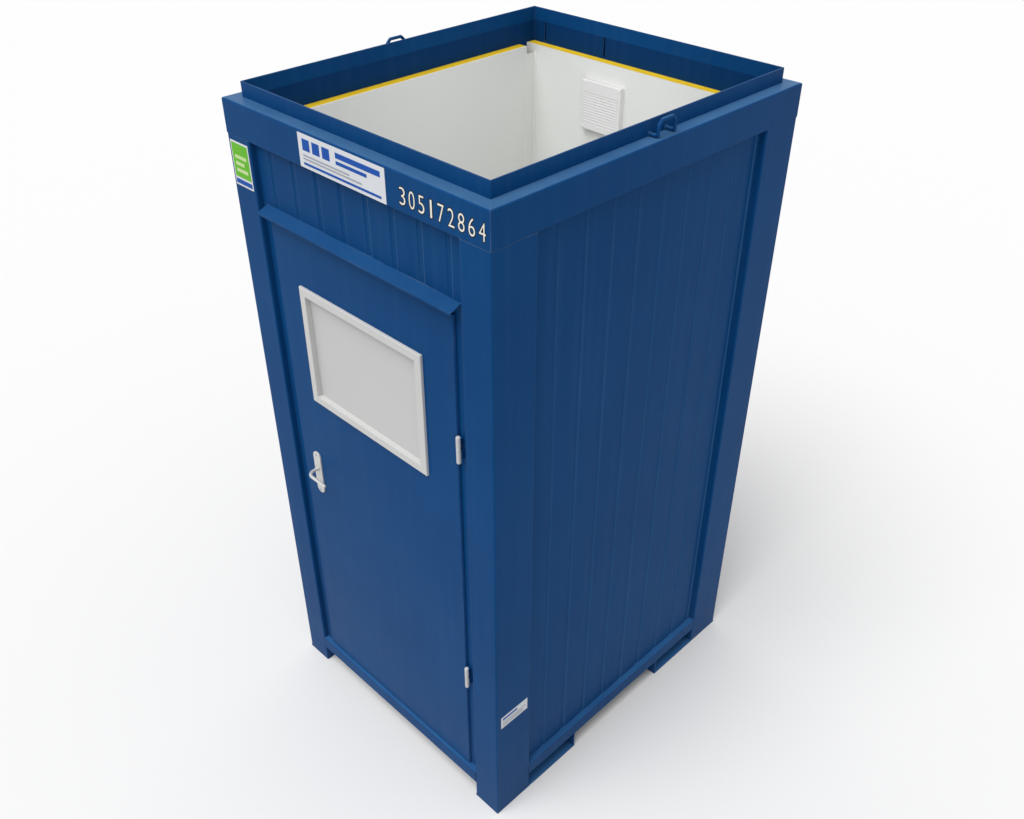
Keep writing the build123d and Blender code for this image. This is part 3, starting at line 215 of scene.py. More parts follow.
class SecondColour(SharedGroup):
    """Second colour beyond a distance from a centre, measured along chosen axes; it serves two-tone paint,
    painted light and painted shade.
    """

    name = "second_colour"
    inputs = "Vector Colour Beyond Centre Axes Distance"

    def wire(self) -> None:
        """Measure the distance and change colour past it."""
        away = self.vectors("SUBTRACT", "Vector", self.place, self.reads["Centre"])
        away = self.vectors("MULTIPLY", "Vector", away, self.reads["Axes"])
        reach = self.vectors("LENGTH", "Value", away)
        self.tint(self.maths("GREATER_THAN", reach, self.reads["Distance"]), self.reads["Beyond"])


class RainDustAndSheen(SharedGroup):
    """Faint rain streaks down a wall, and a pale tone towards the ground that stands partly for dust and partly
    for painted sheen of grazing reflection.
    """

    name = "rain_dust_and_sheen"
    inputs = "Vector Colour Streaks Dust Reach"
    outputs = "Colour Mask"
    streak_cells = (38.0, 38.0, 0.9)
    streak_octaves = 4.0
    streak_contrast = (3.0, -1.35)
    streak_colour = linear((96, 128, 160))
    dust_and_sheen_falloff = 2.0
    dust_and_sheen_patches = (9.0, 6.0)
    dust_and_sheen_colour = linear((172, 168, 158))

    def wire(self) -> None:
        """Lay the streaks, then the pale low tone of dust and painted sheen, and give out its mask."""
        stretched = self.vectors("MULTIPLY", "Vector", self.place, self.streak_cells)
        lines = self.ramp(self.noise(stretched, 1.0, self.streak_octaves), *self.streak_contrast)
        lines = self.product(lines, self.reads["Streaks"])
        streaked = self.mix(lines, self.reads["Colour"], self.streak_colour)
        high = self.maths("DIVIDE", self.height(self.place), self.reads["Reach"])
        low = self.maths("POWER", self.maths("SUBTRACT", 1.0, high, clamp=True), self.dust_and_sheen_falloff)
        low = self.product(low, self.noise(self.place, *self.dust_and_sheen_patches), self.reads["Dust"])
        self.fill(self.sink, {"Colour": self.mix(low, streaked, self.dust_and_sheen_colour), "Mask": low})


class PaleFaces(SharedGroup):
    """Painted light and shade on some faces: a second tone mixed in soft patches."""

    inputs = "Vector Colour Pale Amount"
    patches = (6.0, 5.0)
    lift = 0.5

    def pale(self, faces: Socket) -> None:
        """Mix the painted tone into the faces of a mask."""
        soft = self.maths("ADD", self.noise(self.place, *self.patches), self.lift)
        self.tint(self.product(faces, soft, self.reads["Amount"]), self.reads["Pale"])


class UpwardFaces(PaleFaces):
    """Painted top light and shade on faces that look up: paler on blue paint, darker on white tops."""

    name = "upward_faces"
    contrast = (4.0, -3.0)

    def wire(self) -> None:
        """Choose the faces whose normal points up."""
        up = self.height(self.add("ShaderNodeNewGeometry", "Normal", {}))
        self.pale(self.ramp(up, *self.contrast))


class GrooveFlanks(PaleFaces):
    """Painted highlight: a paler tone on one flank of each groove pressed into a wall."""

    name = "groove_flanks"
    inputs = "Vector Colour Pale Amount Across"
    largest_lean = 0.5

    def wire(self) -> None:
        """Choose the faces whose normal is well off the given direction."""
        normal = self.add("ShaderNodeNewGeometry", "True Normal", {})
        lean = self.maths("ABSOLUTE", self.vectors("DOT_PRODUCT", "Value", normal, self.reads["Across"]))
        self.pale(self.maths("LESS_THAN", lean, self.largest_lean))


class EdgeWear(SharedGroup):
    """Paint rubbed thin along outer edges, in broken lengths."""

    name = "edge_wear"
    inputs = "Vector Colour Wear"
    radius = 0.003
    samples = 4
    gain = 5.0
    lengths = (7.0, 6.0)
    contrast = (4.0, -1.6)
    worn = linear((126, 146, 170))

    def wire(self) -> None:
        """Find edges, where a rounded normal leaves the plain one, and mix in the worn tone."""
        rounded = self.add("ShaderNodeBevel", "Normal", {"Radius": self.radius}, samples=self.samples)
        plain = self.add("ShaderNodeNewGeometry", "Normal", {})
        facing = self.vectors("DOT_PRODUCT", "Value", rounded, plain)
        edge = self.maths("SUBTRACT", 1.0, facing, clamp=True)
        edge = self.maths("MULTIPLY", edge, self.gain, clamp=True)
        broken = self.ramp(self.noise(self.place, *self.lengths), *self.contrast)
        self.tint(self.product(edge, broken, self.reads["Wear"]), self.worn)


class GlossDrift(SharedGroup):
    """Roughness that drifts a little, and rises where the pale low tone of dust and painted sheen lies."""

    name = "gloss_drift"
    inputs = "Vector Roughness Spread Mask"
    outputs = "Roughness"
    smears = (11.0, 5.0)
    middle = 0.5

    def wire(self) -> None:
        """Add smears and the dust's mask to the roughness."""
        smear = self.maths("SUBTRACT", self.noise(self.place, *self.smears), self.middle)
        smear = self.product(smear, self.reads["Spread"])
        total = self.maths("ADD", self.reads["Roughness"], smear)
        self.fill(self.sink, {"Roughness": self.maths("ADD", total, self.reads["Mask"], clamp=True)})


class Relief(SharedGroup):
    """Height of one small relief, made of cells or of stretched noise."""

    inputs = "Vector Scale"
    outputs = "Height"
    scatter = {Pattern.PORES: 1.0, Pattern.STUDS: 0.0}
    even = ((1.0, 1.0, 1.0), 2.0)
    stretched = {
        Pattern.BRUSHED: ((1.0, 1.0, 24.0), 2.0),
        Pattern.FIBRES: ((1.0, 0.12, 1.0), 6.0),
        Pattern.RIPPLE: ((1.0, 1.0, 1.0), 1.0),
    }
    added = {Pattern.PORES: (140.0, 5.0), Pattern.RIPPLE: (45.0, 1.0)}
    stud_contrast = (-9.0, 3.2)

    def __init__(self, pattern: Pattern) -> None:
        """Take the pattern, whose name the group gets."""
        super().__init__()
        self.pattern, self.name = pattern, pattern.value

    def wire(self) -> None:
        """Make the cells or the noise, and what some patterns have besides."""
        scale = self.reads["Scale"]
        if self.pattern in self.scatter:
            feeds = {"Vector": self.place, "Scale": scale, "Randomness": self.scatter[self.pattern]}
            height = self.add("ShaderNodeTexVoronoi", "Distance", feeds)
        else:
            stretch, octaves = self.stretched.get(self.pattern, self.even)
            height = self.noise(self.vectors("MULTIPLY", "Vector", self.place, stretch), scale, octaves)
        if self.pattern in self.added:
            height = self.maths("ADD", height, self.noise(self.place, *self.added[self.pattern]))
        elif self.pattern is Pattern.STUDS:
            height = self.ramp(height, *self.stud_contrast)
        self.fill(self.sink, {"Height": height})


TONE, SECOND, RAIN = ToneDrift(), SecondColour(), RainDustAndSheen()
UPWARD, FLANKS, WEAR, GLOSS = UpwardFaces(), GrooveFlanks(), EdgeWear(), GlossDrift()
RELIEFS = {pattern: Relief(pattern) for pattern in Pattern}


@dataclass(frozen=True)
class Finish:
    """One surface finish, made of the shared groups with its own values."""

    name: str
    colour: Colour
    shade: Colour
    roughness: float
    pattern: Pattern = Pattern.SMOOTH
    cells: float = 900.0
    depth: float = 0.00001
    spread: float = 0.12
    drift: float = 2.5
    metallic: float = 0.0
    streaks: float = 0.0
    # The pale tone towards the ground stands partly for dust and partly for painted sheen of grazing
    # reflection.
    dust: float = 0.0
    reach: float = 0.9
    coat: float = 0.0
    specular: float = 0.5
    wear: float = 0.0
    # The tone on faces that look up is painted light and shade: paler on blue paint, darker on white tops.
    painted_top_shading: float = 0.0
    # The tone on groove flanks is a painted highlight, on the flanks whose normal is well off the across
    # direction.
    painted_flank_highlight: float = 0.0
    across: Point = (-0.7071, 0.7071, 0.0)
    pale: Colour = (133, 180, 213)
    # A second colour serves two-tone paint, painted shade on the collar and painted light on the door leaf's
    # edges.
    beyond: Optional[Colour] = None
    centre: Point = (0.0, 0.0, 0.0)
    axes: Point = (0.0, 0.0, 1.0)
    distance: float = 0.0

    def layers(self) -> list[tuple[SharedGroup, dict[str, object]]]:
        """Choose the colour groups that this finish needs, from the ground up.

        Returns:
            The groups with their values.
        """
        pale, beyond = linear(self.pale), linear(self.beyond or self.colour)
        layers = (
            (True, TONE, {"Shade": linear(self.shade), "Scale": self.drift}),
            (self.beyond, SECOND, {"Beyond": beyond, "Centre": self.centre, "Axes": self.axes,
                                   "Distance": self.distance}),
            (True, RAIN, {"Streaks": self.streaks, "Dust": self.dust, "Reach": self.reach}),
            (self.painted_top_shading, UPWARD, {"Pale": pale, "Amount": self.painted_top_shading}),
            (self.painted_flank_highlight, FLANKS, {"Pale": pale, "Amount": self.painted_flank_highlight, "Across": self.across}),
            (self.wear, WEAR, {"Wear": self.wear}),
        )
        return [(group, values) for used, group, values in layers if used]

    def material(self) -> bpy.types.Material:
        """Build the material, or return it if it exists.

        Returns:
            The node material of this finish.
        """
        known = bpy.data.materials.get(self.name)
        if known:
            return known
        material = bpy.data.materials.new(self.name)
        material.use_nodes = True
        wire = Wiring(material.node_tree)
        place = wire.add("ShaderNodeTexCoord", "Object", {})
        colour, mask = linear(self.colour), 0.0
        for group, values in self.layers():
            feeds = {"Vector": place, "Colour": colour, **values}
            colour = wire.add("ShaderNodeGroup", "Colour", feeds, node_tree=group.built())
            mask = colour.node.outputs.get("Mask", mask)
        feeds = {"Vector": place, "Roughness": self.roughness, "Spread": self.spread, "Mask": mask}
        gloss = wire.add("ShaderNodeGroup", "Roughness", feeds, node_tree=GLOSS.built())
        feeds = {"Vector": place, "Scale": self.cells}
        relief = wire.add("ShaderNodeGroup", "Height", feeds, node_tree=RELIEFS[self.pattern].built())
        bump = wire.add("ShaderNodeBump", "Normal", {"Distance": self.depth, "Height": relief})
        wire.fill(material.node_tree.nodes["Principled BSDF"], {
            "Base Color": colour, "Roughness": gloss, "Normal": bump, "Metallic": self.metallic,
            "Coat Weight": self.coat, "Specular IOR Level": self.specular,
        })
        return material

    def dress(self, piece: Piece) -> None:
        """Give a piece this finish alone."""
        piece.data.materials.clear()
        piece.data.materials.append(self.material())


# Blue paints with a top tone get a paler painted top light on faces that look up, such as ledges and sill tops.
FRAME_BLUE = Finish("blue_frame_paint", (13, 68, 120), (11, 62, 113), 0.36, Pattern.PEEL, 700.0, 0.00005,
                    streaks=0.03, dust=0.05, specular=0.03, wear=0.45, painted_top_shading=0.17)
SILL_BLUE = replace(FRAME_BLUE, name="blue_sill_paint", dust=0.03, pale=(91, 154, 213))
HOOD_BLUE = replace(FRAME_BLUE, name="blue_hood_paint", dust=0.0, wear=0.3, painted_top_shading=0.045)
# The darker blue on the collar's lower band, below the ledge, is painted shade of the recess there.
COLLAR_BLUE = replace(HOOD_BLUE, name="blue_collar_with_painted_shade", painted_top_shading=0.0, beyond=(11, 52, 98),
                      centre=(0.0, 0.0, 3.0), distance=0.5085)
DOOR_BLUE = replace(FRAME_BLUE, name="blue_door_paint", roughness=0.34, cells=650.0, dust=0.06, reach=1.3,
                    wear=0.3, painted_top_shading=0.0)
# The lighter blue on the leaf's side edges is painted light, lifting the shade in the gap beside the frame.
LEAF_BLUE = replace(DOOR_BLUE, name="blue_leaf_with_painted_edge_light", beyond=(34, 86, 146), axes=(1.0, 0.0, 0.0),
                    distance=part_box("door_outer_skin")[1].x - 0.0004)
# The wall paints carry a painted highlight on one flank of each groove.
WALL_BLUE = Finish("blue_wall_paint", (13, 67, 118), (11, 61, 111), 0.38, Pattern.PEEL, 900.0, 0.00004,
                   streaks=0.04, dust=0.05, specular=0.03, wear=0.2, painted_flank_highlight=0.13)
SIDE_BLUE = replace(WALL_BLUE, name="blue_side_paint", painted_flank_highlight=0.048, across=(0.7071, 0.7071, 0.0))
PRIMER_GREY = Finish("grey_primer", (92, 96, 99), (78, 80, 82), 0.65, Pattern.PEEL, 500.0, 0.00008, dust=0.4)
ZINC = Finish("zinc_plate", (176, 178, 178), (150, 152, 154), 0.38, Pattern.BRUSHED, 260.0, 0.00002,
              metallic=1.0, drift=18.0)
PANEL_WOOD = Finish("raw_panel_wood", (158, 122, 84), (126, 92, 60), 0.8, Pattern.FIBRES, 90.0, 0.0003,
                    drift=14.0)
FLOOR_SHEET = Finish("studded_floor_sheet", (112, 116, 118), (98, 102, 104), 0.55, Pattern.STUDS, 45.0,
                     0.0006, drift=5.0)
FOAM = Finish("yellow_foam", (220, 186, 4), (208, 172, 2), 0.9, Pattern.PORES, 260.0, 0.0008, drift=26.0)
# The lining's upward faces are darkened: painted shade against the top light.
LINING = Finish("white_lining_board", (232, 233, 230), (228, 229, 226), 0.5, Pattern.FIBRES, 420.0, 0.00003,
                drift=1.6, painted_top_shading=0.25, pale=(150, 150, 146))
TRIM_WHITE = Finish("white_trim_paint", (226, 227, 225), (220, 221, 219), 0.45, Pattern.PEEL, 800.0, 0.00003)
FRAME_WHITE = Finish("white_window_plastic", (199, 199, 198), (194, 194, 193), 0.42, cells=1100.0,
                     depth=0.00002, specular=0.2)
PLASTIC_WHITE = Finish("white_moulded_plastic", (232, 232, 231), (227, 227, 226), 0.40, cells=1200.0,
                       depth=0.00002)
# The fan cover's upward faces are darkened: painted shade against the top light.
FAN_WHITE = Finish("white_fan_plastic", (230, 230, 229), (226, 226, 225), 0.45, cells=1200.0, depth=0.00002,
                   painted_top_shading=0.42, pale=(120, 120, 117))
PLASTIC_DARK = Finish("dark_plastic", (38, 39, 41), (30, 31, 33), 0.5, depth=0.00004)
GASKET = Finish("pale_gasket_rubber", (198, 198, 196), (190, 190, 189), 0.7, cells=600.0, depth=0.00004)
RUBBER = Finish("black_rubber", (26, 26, 27), (19, 19, 20), 0.72, cells=600.0, depth=0.00006)
PANE = Finish("obscured_pane", (195, 195, 195), (190, 190, 190), 0.34, Pattern.RIPPLE, 160.0, 0.0002,
              drift=1.2, specular=0.12)
HANDLE = Finish("satin_handle_metal", (206, 206, 203), (192, 192, 190), 0.34, Pattern.BRUSHED, 300.0, 0.00001,
                metallic=0.35, drift=22.0)
HINGE = Finish("grey_hinge_paint", (196, 197, 197), (186, 187, 188), 0.42, Pattern.PEEL, 800.0, 0.00003,
               drift=16.0, specular=0.2, beyond=(13, 67, 118), centre=sum(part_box("hinge_pins"), Vector()) / 2,
               axes=(1.0, 1.0, 0.0), distance=0.0078)
CHROME = Finish("polished_chrome", (214, 216, 218), (200, 203, 206), 0.09, cells=300.0, depth=0.000004,
                spread=0.05, metallic=1.0)
GLAZE = Finish("white_glaze", (232, 232, 228), (224, 224, 220), 0.12, cells=30.0, depth=0.00008, spread=0.05,
               coat=0.6)
PIPE_GREY = Finish("grey_pipe_plastic", (120, 123, 126), (108, 111, 114), 0.5, cells=700.0, depth=0.00003)
PAPER = Finish("soft_paper", (236, 233, 226), (226, 222, 214), 0.92, Pattern.PORES, 700.0, 0.0001, drift=30.0)
CARD = Finish("core_card", (158, 126, 90), (138, 108, 76), 0.88, Pattern.FIBRES, 300.0, 0.00006, drift=30.0)
SIGN_WHITE = Finish("sign_white", (212, 215, 219), (206, 209, 214), 0.4, specular=0.15)
SIGN_BLUE = Finish("sign_print_blue", (20, 82, 168), (16, 74, 156), 0.45, specular=0.1)
SIGN_GREY = Finish("sign_print_grey", (150, 156, 166), (140, 146, 156), 0.42)
STICKER_GREEN = Finish("sticker_green", (104, 182, 44), (94, 172, 38), 0.45, drift=20.0, specular=0.1)
STICKER_PALE = replace(STICKER_GREEN, name="sticker_pale_green", colour=(196, 218, 160),
                       shade=(186, 210, 148))
OUTLINE_DARK = Finish("outline_dark", (22, 28, 38), (16, 22, 30), 0.5, Pattern.PEEL, depth=0.00002,
                      specular=0.1)
DIGIT_WHITE = Finish("digit_white", (236, 232, 222), (226, 222, 212), 0.5, Pattern.PEEL, depth=0.00002)
MARKER_RED = Finish("red_marker", (170, 30, 26), (150, 24, 22), 0.3)
MARKER_PALE = Finish("pale_marker", (246, 246, 244), (240, 240, 238), 0.3)

DRESSED_NODES = [
    (FRAME_BLUE, "corner_post_front_left corner_post_front_right"),
    (FRAME_BLUE, "corner_post_rear_left corner_post_rear_right"),
    (FRAME_BLUE, "roof_rail_front roof_rail_rear roof_rails_side lifting_eyes"),
    (COLLAR_BLUE, "roof_collar"),
    (SILL_BLUE, "floor_sills fork_shoes"),
    (PRIMER_GREY, "floor_joists"),
    (PANEL_WOOD, "floor_board"),
    (FLOOR_SHEET, "floor_covering"),
    (WALL_BLUE, "cladding_rear cladding_front"),
    (SIDE_BLUE, "cladding_sides"),
    (FOAM, "insulation_sides insulation_rear insulation_front door_core"),
    (LINING, "lining_sides lining_rear lining_front corner_covers"),
    (HOOD_BLUE, "door_hood"),
    (DOOR_BLUE, "door_frame"),
    (LEAF_BLUE, "door_outer_skin"),
    (TRIM_WHITE, "door_inner_skin"),
    (RUBBER, "door_seal"),
    (HINGE, "hinge_frame_knuckles hinge_door_knuckles"),
    (HANDLE, "handle_plates lever_outside lever_inside thumb_turn"),
    (ZINC, "strike_plate hinge_pins lock_case latch_bolt dead_bolt seat_hinge"),
    (FRAME_WHITE, "window_frame"),
    (GASKET, "window_gasket"),
    (PANE, "window_pane"),
    (FAN_WHITE, "fan_cover fan_outlet"),
    (PLASTIC_DARK, "fan_motor fan_impeller"),
    (GLAZE, "wc_pan wash_basin"),
    (PLASTIC_WHITE, "wc_seat cistern"),
    (CHROME, "flush_button tap_body tap_lever basin_trap paper_holder"),
    (PIPE_GREY, "waste_pipe"),
    (PAPER, "paper_roll"),
]
NODE_FINISHES = {node: finish for finish, nodes in DRESSED_NODES for node in nodes.split()}


@dataclass(frozen=True)
class Disc:
    """Sizes of a round piece: its rim is rounded by edge, and a rim width gives it a recess."""

    radius: float
    height: float
    edge: float
    sides: int = 32
    rim: float = 0.0
    sink: float = 0.0


@dataclass(frozen=True)
class Screw:
    """Sizes of a pan-head screw; its rounding and cross recess are shares of the head."""

    radius: float
    height: float
    rounding: float = 0.6
    arm_width: float = 0.13
    arm_reach: float = 0.55
    arm_depth: float = 0.5
    arm_edge: float = 0.2
    sides: int = 24


class Bench:
    """Modelling steps that the sub-assemblies share."""

    SMOOTH_ANGLE = math.radians(35.0)
    UPWARD, FLAT = 0.9, 0.99
    RIM_STEPS = 3

    @staticmethod
    def clear() -> None:
        """Leave edit mode and deselect everything."""
        if bpy.context.object and bpy.context.object.mode != "OBJECT":
            bpy.ops.object.mode_set(mode="OBJECT")
        bpy.ops.object.select_all(action="DESELECT")

    @staticmethod
    def activate(piece: Piece) -> None:
        """Select a piece alone and make it active.

        Args:
            piece: piece to work on.
        """
        Bench.clear()
        piece.select_set(True)
        bpy.context.view_layer.objects.active = piece

    @staticmethod
    def settle(name: str) -> Piece:
        """Name the active piece and put its place into its mesh.

        Args:
            name: piece name.

        Returns:
            The piece.
        """
        piece = bpy.context.object
        piece.name = name
        piece.data.name = name
        bpy.ops.object.transform_apply(location=True, rotation=True, scale=True)
        return piece

    @staticmethod
    def pick(piece: Piece, test: Callable[[bpy.types.MeshPolygon], bool]) -> None:
        """Select the faces that pass a test, and go to edit mode.

        Args:
            piece: piece to select on.
            test: tells whether a face is wanted.
        """
        bpy.context.view_layer.objects.active = piece
        bpy.ops.object.mode_set(mode="EDIT")
        bpy.ops.mesh.select_mode(type="FACE")
        bpy.ops.mesh.select_all(action="DESELECT")
        bpy.ops.object.mode_set(mode="OBJECT")
        for face in piece.data.polygons:
            face.select = test(face)
        bpy.ops.object.mode_set(mode="EDIT")

    @staticmethod
    def pick_all() -> None:
        """Go to edit mode on the active piece with all of it selected."""
        bpy.ops.object.mode_set(mode="EDIT")
        bpy.ops.mesh.select_all(action="SELECT")

    @staticmethod
    def slab(name: str, low: Point, high: Point, edge: float, steps: int = 2) -> Piece:
        """Make a box between two corners, with rounded edges.

        Args:
            name: piece name.
            low: lowest corner.
            high: highest corner.
            edge: width of the rounding.
            steps: segments of the rounding.

        Returns:
            The piece.
        """
        Bench.clear()
        a, b = Vector(low), Vector(high)
        bpy.ops.mesh.primitive_cube_add(size=1.0, location=(a + b) / 2, scale=b - a)
        piece = Bench.settle(name)
        Bench.pick_all()
        bpy.ops.mesh.bevel(offset=edge, segments=steps, affect="EDGES")
        bpy.ops.object.mode_set(mode="OBJECT")
        return piece

    @staticmethod
    def disc(name: str, size: Disc) -> Piece:
        """Make a round piece on the origin along +Z.

        Args:
            name: piece name.
            size: its sizes.

        Returns:
            The piece.
        """
        Bench.clear()
        bpy.ops.mesh.primitive_cylinder_add(vertices=size.sides, radius=size.radius, depth=size.height,
                                            location=(0.0, 0.0, size.height / 2))
        piece = Bench.settle(name)
        Bench.pick(piece, lambda face: face.normal.z > Bench.UPWARD)
        bpy.ops.mesh.region_to_loop()
        bpy.ops.mesh.bevel(offset=size.edge, segments=Bench.RIM_STEPS, affect="EDGES")
        bpy.ops.object.mode_set(mode="OBJECT")
        if size.rim > 0.0:
            top = size.height - size.edge / 2
            Bench.pick(piece, lambda face: face.normal.z > Bench.FLAT and face.center.z > top)
            bpy.ops.mesh.inset(thickness=size.rim)
            bpy.ops.mesh.extrude_region_move(TRANSFORM_OT_translate={"value": (0.0, 0.0, -size.sink)})
            bpy.ops.object.mode_set(mode="OBJECT")
        return Bench.smooth(piece)

    @staticmethod
    def screw(name: str, size: Screw) -> Piece:
        """Make a pan-head screw on the origin with a cross recess.

        Args:
            name: piece name.
            size: its sizes.

        Returns:
            The piece.
        """
        head = Bench.disc(name, Disc(size.radius, size.height, size.height * size.rounding, size.sides))
        half, reach = size.radius * size.arm_width, size.radius * size.arm_reach
        depth = size.height * size.arm_depth
        low, high, edge = size.height - depth, size.height + depth, half * size.arm_edge
        arms = [Bench.slab("recess_arm", (-x, -y, low), (x, y, high), edge, 1)
                for x, y in ((reach, half), (half, reach))]
        for arm in arms:
            Bench.cut(head, arm)
        return Bench.smooth(head)

    @staticmethod
    def smooth(piece: Piece) -> Piece:
        """Shade a piece smooth across its shallow edges.

        Args:
            piece: piece to shade.

        Returns:
            The piece.
        """
        Bench.activate(piece)
        bpy.ops.object.shade_smooth_by_angle(angle=Bench.SMOOTH_ANGLE)
        return piece

    @staticmethod
    def cut(piece: Piece, tool: Piece) -> Piece:
        """Take a tool's shape out of a piece.

        Args:
            piece: piece to cut.
            tool: shape to remove, which is deleted.

        Returns:
            The cut piece.
        """
        Bench.activate(piece)
        modifier = piece.modifiers.new("cut", "BOOLEAN")
        modifier.operation = "DIFFERENCE"
        modifier.solver = "EXACT"
        modifier.object = tool
        bpy.ops.object.modifier_apply(modifier=modifier.name)
        bpy.data.objects.remove(tool)
        return piece

    @staticmethod
    def join(name: str, pieces: Sequence[Piece]) -> Piece:
        """Join pieces into one.

        Args:
            name: name of the result.
            pieces: pieces to join.

        Returns:
            The joined piece.
        """
        Bench.clear()
        for piece in pieces:
            piece.select_set(True)
        bpy.context.view_layer.objects.active = pieces[0]
        if len(pieces) > 1:
            bpy.ops.object.join()
        joined = bpy.context.object
        joined.name = name
        joined.data.name = name
        return joined

    @staticmethod
    def repeat(name: str, master: Piece, places: Sequence[Matrix]) -> Piece:
        """Copy a master to several places, as one piece, and delete the master.

        Args:
            name: name of the result.
            master: piece modelled once on the origin.
            places: where the copies go.

        Returns:
            The joined copies.
        """
        copies = []
        for place in places:
            copy = master.copy()
            copy.data = master.data.copy()
            copy.data.transform(place)
            bpy.context.collection.objects.link(copy)
            copies.append(copy)
        bpy.data.objects.remove(master)
        return Bench.join(name, copies)

    @staticmethod
    def set_on(points: Sequence[Point], facing: Facing) -> list[Matrix]:
        """Places on a face, turned so that +Z points out of it."""
        return [Matrix.Translation(point) @ facing.turn() for point in points]


class SubAssembly:
    """Common reporting of a sub-assembly's new pieces."""

    body = "cabin"

    def fit(self, piece: Piece, finish: Finish, slot: str, body: Optional[str] = None) -> None:
        """Dress a piece, make it ride a body and report it.

        Args:
            piece: finished piece.
            finish: its finish.
            slot: material slot of the record that it follows; not used.
            body: body it rides, or the sub-assembly's own.
        """
        finish.dress(piece)
        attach(piece, body or self.body)
        LOG.info("%s: %d faces, rides %s", piece.name, len(piece.data.polygons), body or self.body)


class CadSolids(SubAssembly):
    """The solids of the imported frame."""

    def dress(self) -> None:
        """Give every solid its finish."""
        for node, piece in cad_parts.items():
            NODE_FINISHES[node].dress(piece)
            LOG.info("%s: %s", node, NODE_FINISHES[node].name)


@dataclass
class PrintedPlate(SubAssembly):
    """Thin plate with flat printed marks, set upright on the front or the right face.

    Marks are given as left, bottom, right and top shares of the plate.
    """

    name: str
    left: float
    bottom: float
    width: float
    height: float
    plane: float
    facing: Facing
    marks: dict[str, tuple[Finish, list[Area]]]
    ground: Finish = SIGN_WHITE
    thickness: float = 0.0012
    print_thickness: float = 0.0003
    edge: float = 0.0004

    def panel(self, name: str, area: Area, back: float, front: float, edge: float) -> Piece:
        """Make one flat panel over a share of the plate.

        Args:
            name: piece name.
            area: its share of the plate.
            back: distance of its back out of the wall.
            front: distance of its front out of the wall.
            edge: width of its rounding.

        Returns:
            The piece.
        """
        left, right = (self.left + share * self.width for share in area[::2])
        bottom, top = (self.bottom + share * self.height for share in area[1::2])
        if self.facing is Facing.FRONT:
            low, high = (left, self.plane - front, bottom), (right, self.plane - back, top)
        else:
            low, high = (self.plane + back, left, bottom), (self.plane + front, right, top)
        return Bench.slab(name, low, high, edge)

    def build(self) -> None:
        """Make the plate and its marks."""
        plate = self.panel(self.name, (0.0, 0.0, 1.0, 1.0), 0.0, self.thickness, self.edge)
        self.fit(plate, self.ground, "plastic_white")
        for layer, (label, (finish, areas)) in enumerate(self.marks.items(), 1):
            back, front = self.thickness / 2, self.thickness + layer * self.print_thickness
            panels = [self.panel("mark", area, back, front, self.print_thickness / 3) for area in areas]
            self.fit(Bench.join(f"{self.name}_{label}", panels), finish, "plastic_white")


@dataclass
class NumberRow(SubAssembly):
    """Row of plain digits on the roof rail, each with a dark outline behind it."""

    digits: str = "305172864"
    left: float = 0.245
    right: float = 0.590
    bottom: float = 2.400
    height: float = 0.052
    width: float = 0.025
    narrow: float = 0.36
    thin: float = -0.012
    outline: float = 0.030
    outline_thickness: float = 0.0003
    digit_thickness: float = 0.0006
    text_depth: float = 0.01
    curve_steps: int = 4
    merge_distance: float = 0.00001

    def build(self) -> None:
        """Make the row twice: wider and dark, then thin and white on it."""
        self.row("number_outline", self.outline, self.outline_thickness, OUTLINE_DARK)
        self.row("number_row", self.thin, self.digit_thickness, DIGIT_WHITE)

    def digit(self, digit: str, offset: float, thickness: float, spot: Vector) -> Piece:
        """Make one digit as a solid, narrowed to its cell.

        Args:
            digit: character to make.
            offset: how far its outline is grown, in shares of the letter size.
            thickness: how far it stands out of the wall.
            spot: middle of its foot.

        Returns:
            The piece.
        """
        Bench.clear()
        bpy.ops.object.text_add()
        text = bpy.context.object
        text.data.body = digit
        text.data.extrude = self.text_depth
        text.data.resolution_u = self.curve_steps
        bpy.context.view_layer.update()
        low, high = (Vector([pick(axis) for axis in zip(*text.bound_box)]) for pick in (min, max))
        text.data.offset = offset
        bpy.ops.object.convert(target="MESH")
        piece = Bench.settle("digit")
        size = high - low
        share = self.narrow if digit == "1" else 1.0
        scale = Matrix.Diagonal((self.width * share / size.x, self.height / size.y, thickness / size.z, 1.0))
        foot = Matrix.Translation((-(low.x + high.x) / 2, -low.y, -low.z))
        stand = Matrix.Rotation(math.radians(90.0), 4, "X")
        piece.data.transform(Matrix.Translation(spot) @ stand @ scale @ foot)
        return piece

    def row(self, name: str, offset: float, thickness: float, finish: Finish) -> None:
        """Make all digits of one layer and join them.

        Args:
            name: piece name.
            offset: how far the outlines are grown.
            thickness: how far the layer stands out.
            finish: its finish.
        """
        pitch = (self.right - self.left) / len(self.digits)
        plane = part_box("roof_rail_front")[0].y
        made = []
        for index, digit in enumerate(self.digits):
            spot = Vector((self.left + pitch * (index + 0.5), plane, self.bottom))
            made.append(self.digit(digit, offset, thickness, spot))
        row = Bench.join(name, made)
        Bench.pick_all()
        bpy.ops.mesh.remove_doubles(threshold=self.merge_distance)
        bpy.ops.mesh.normals_make_consistent(inside=False)
        bpy.ops.object.mode_set(mode="OBJECT")
        self.fit(row, finish, "plastic_white")


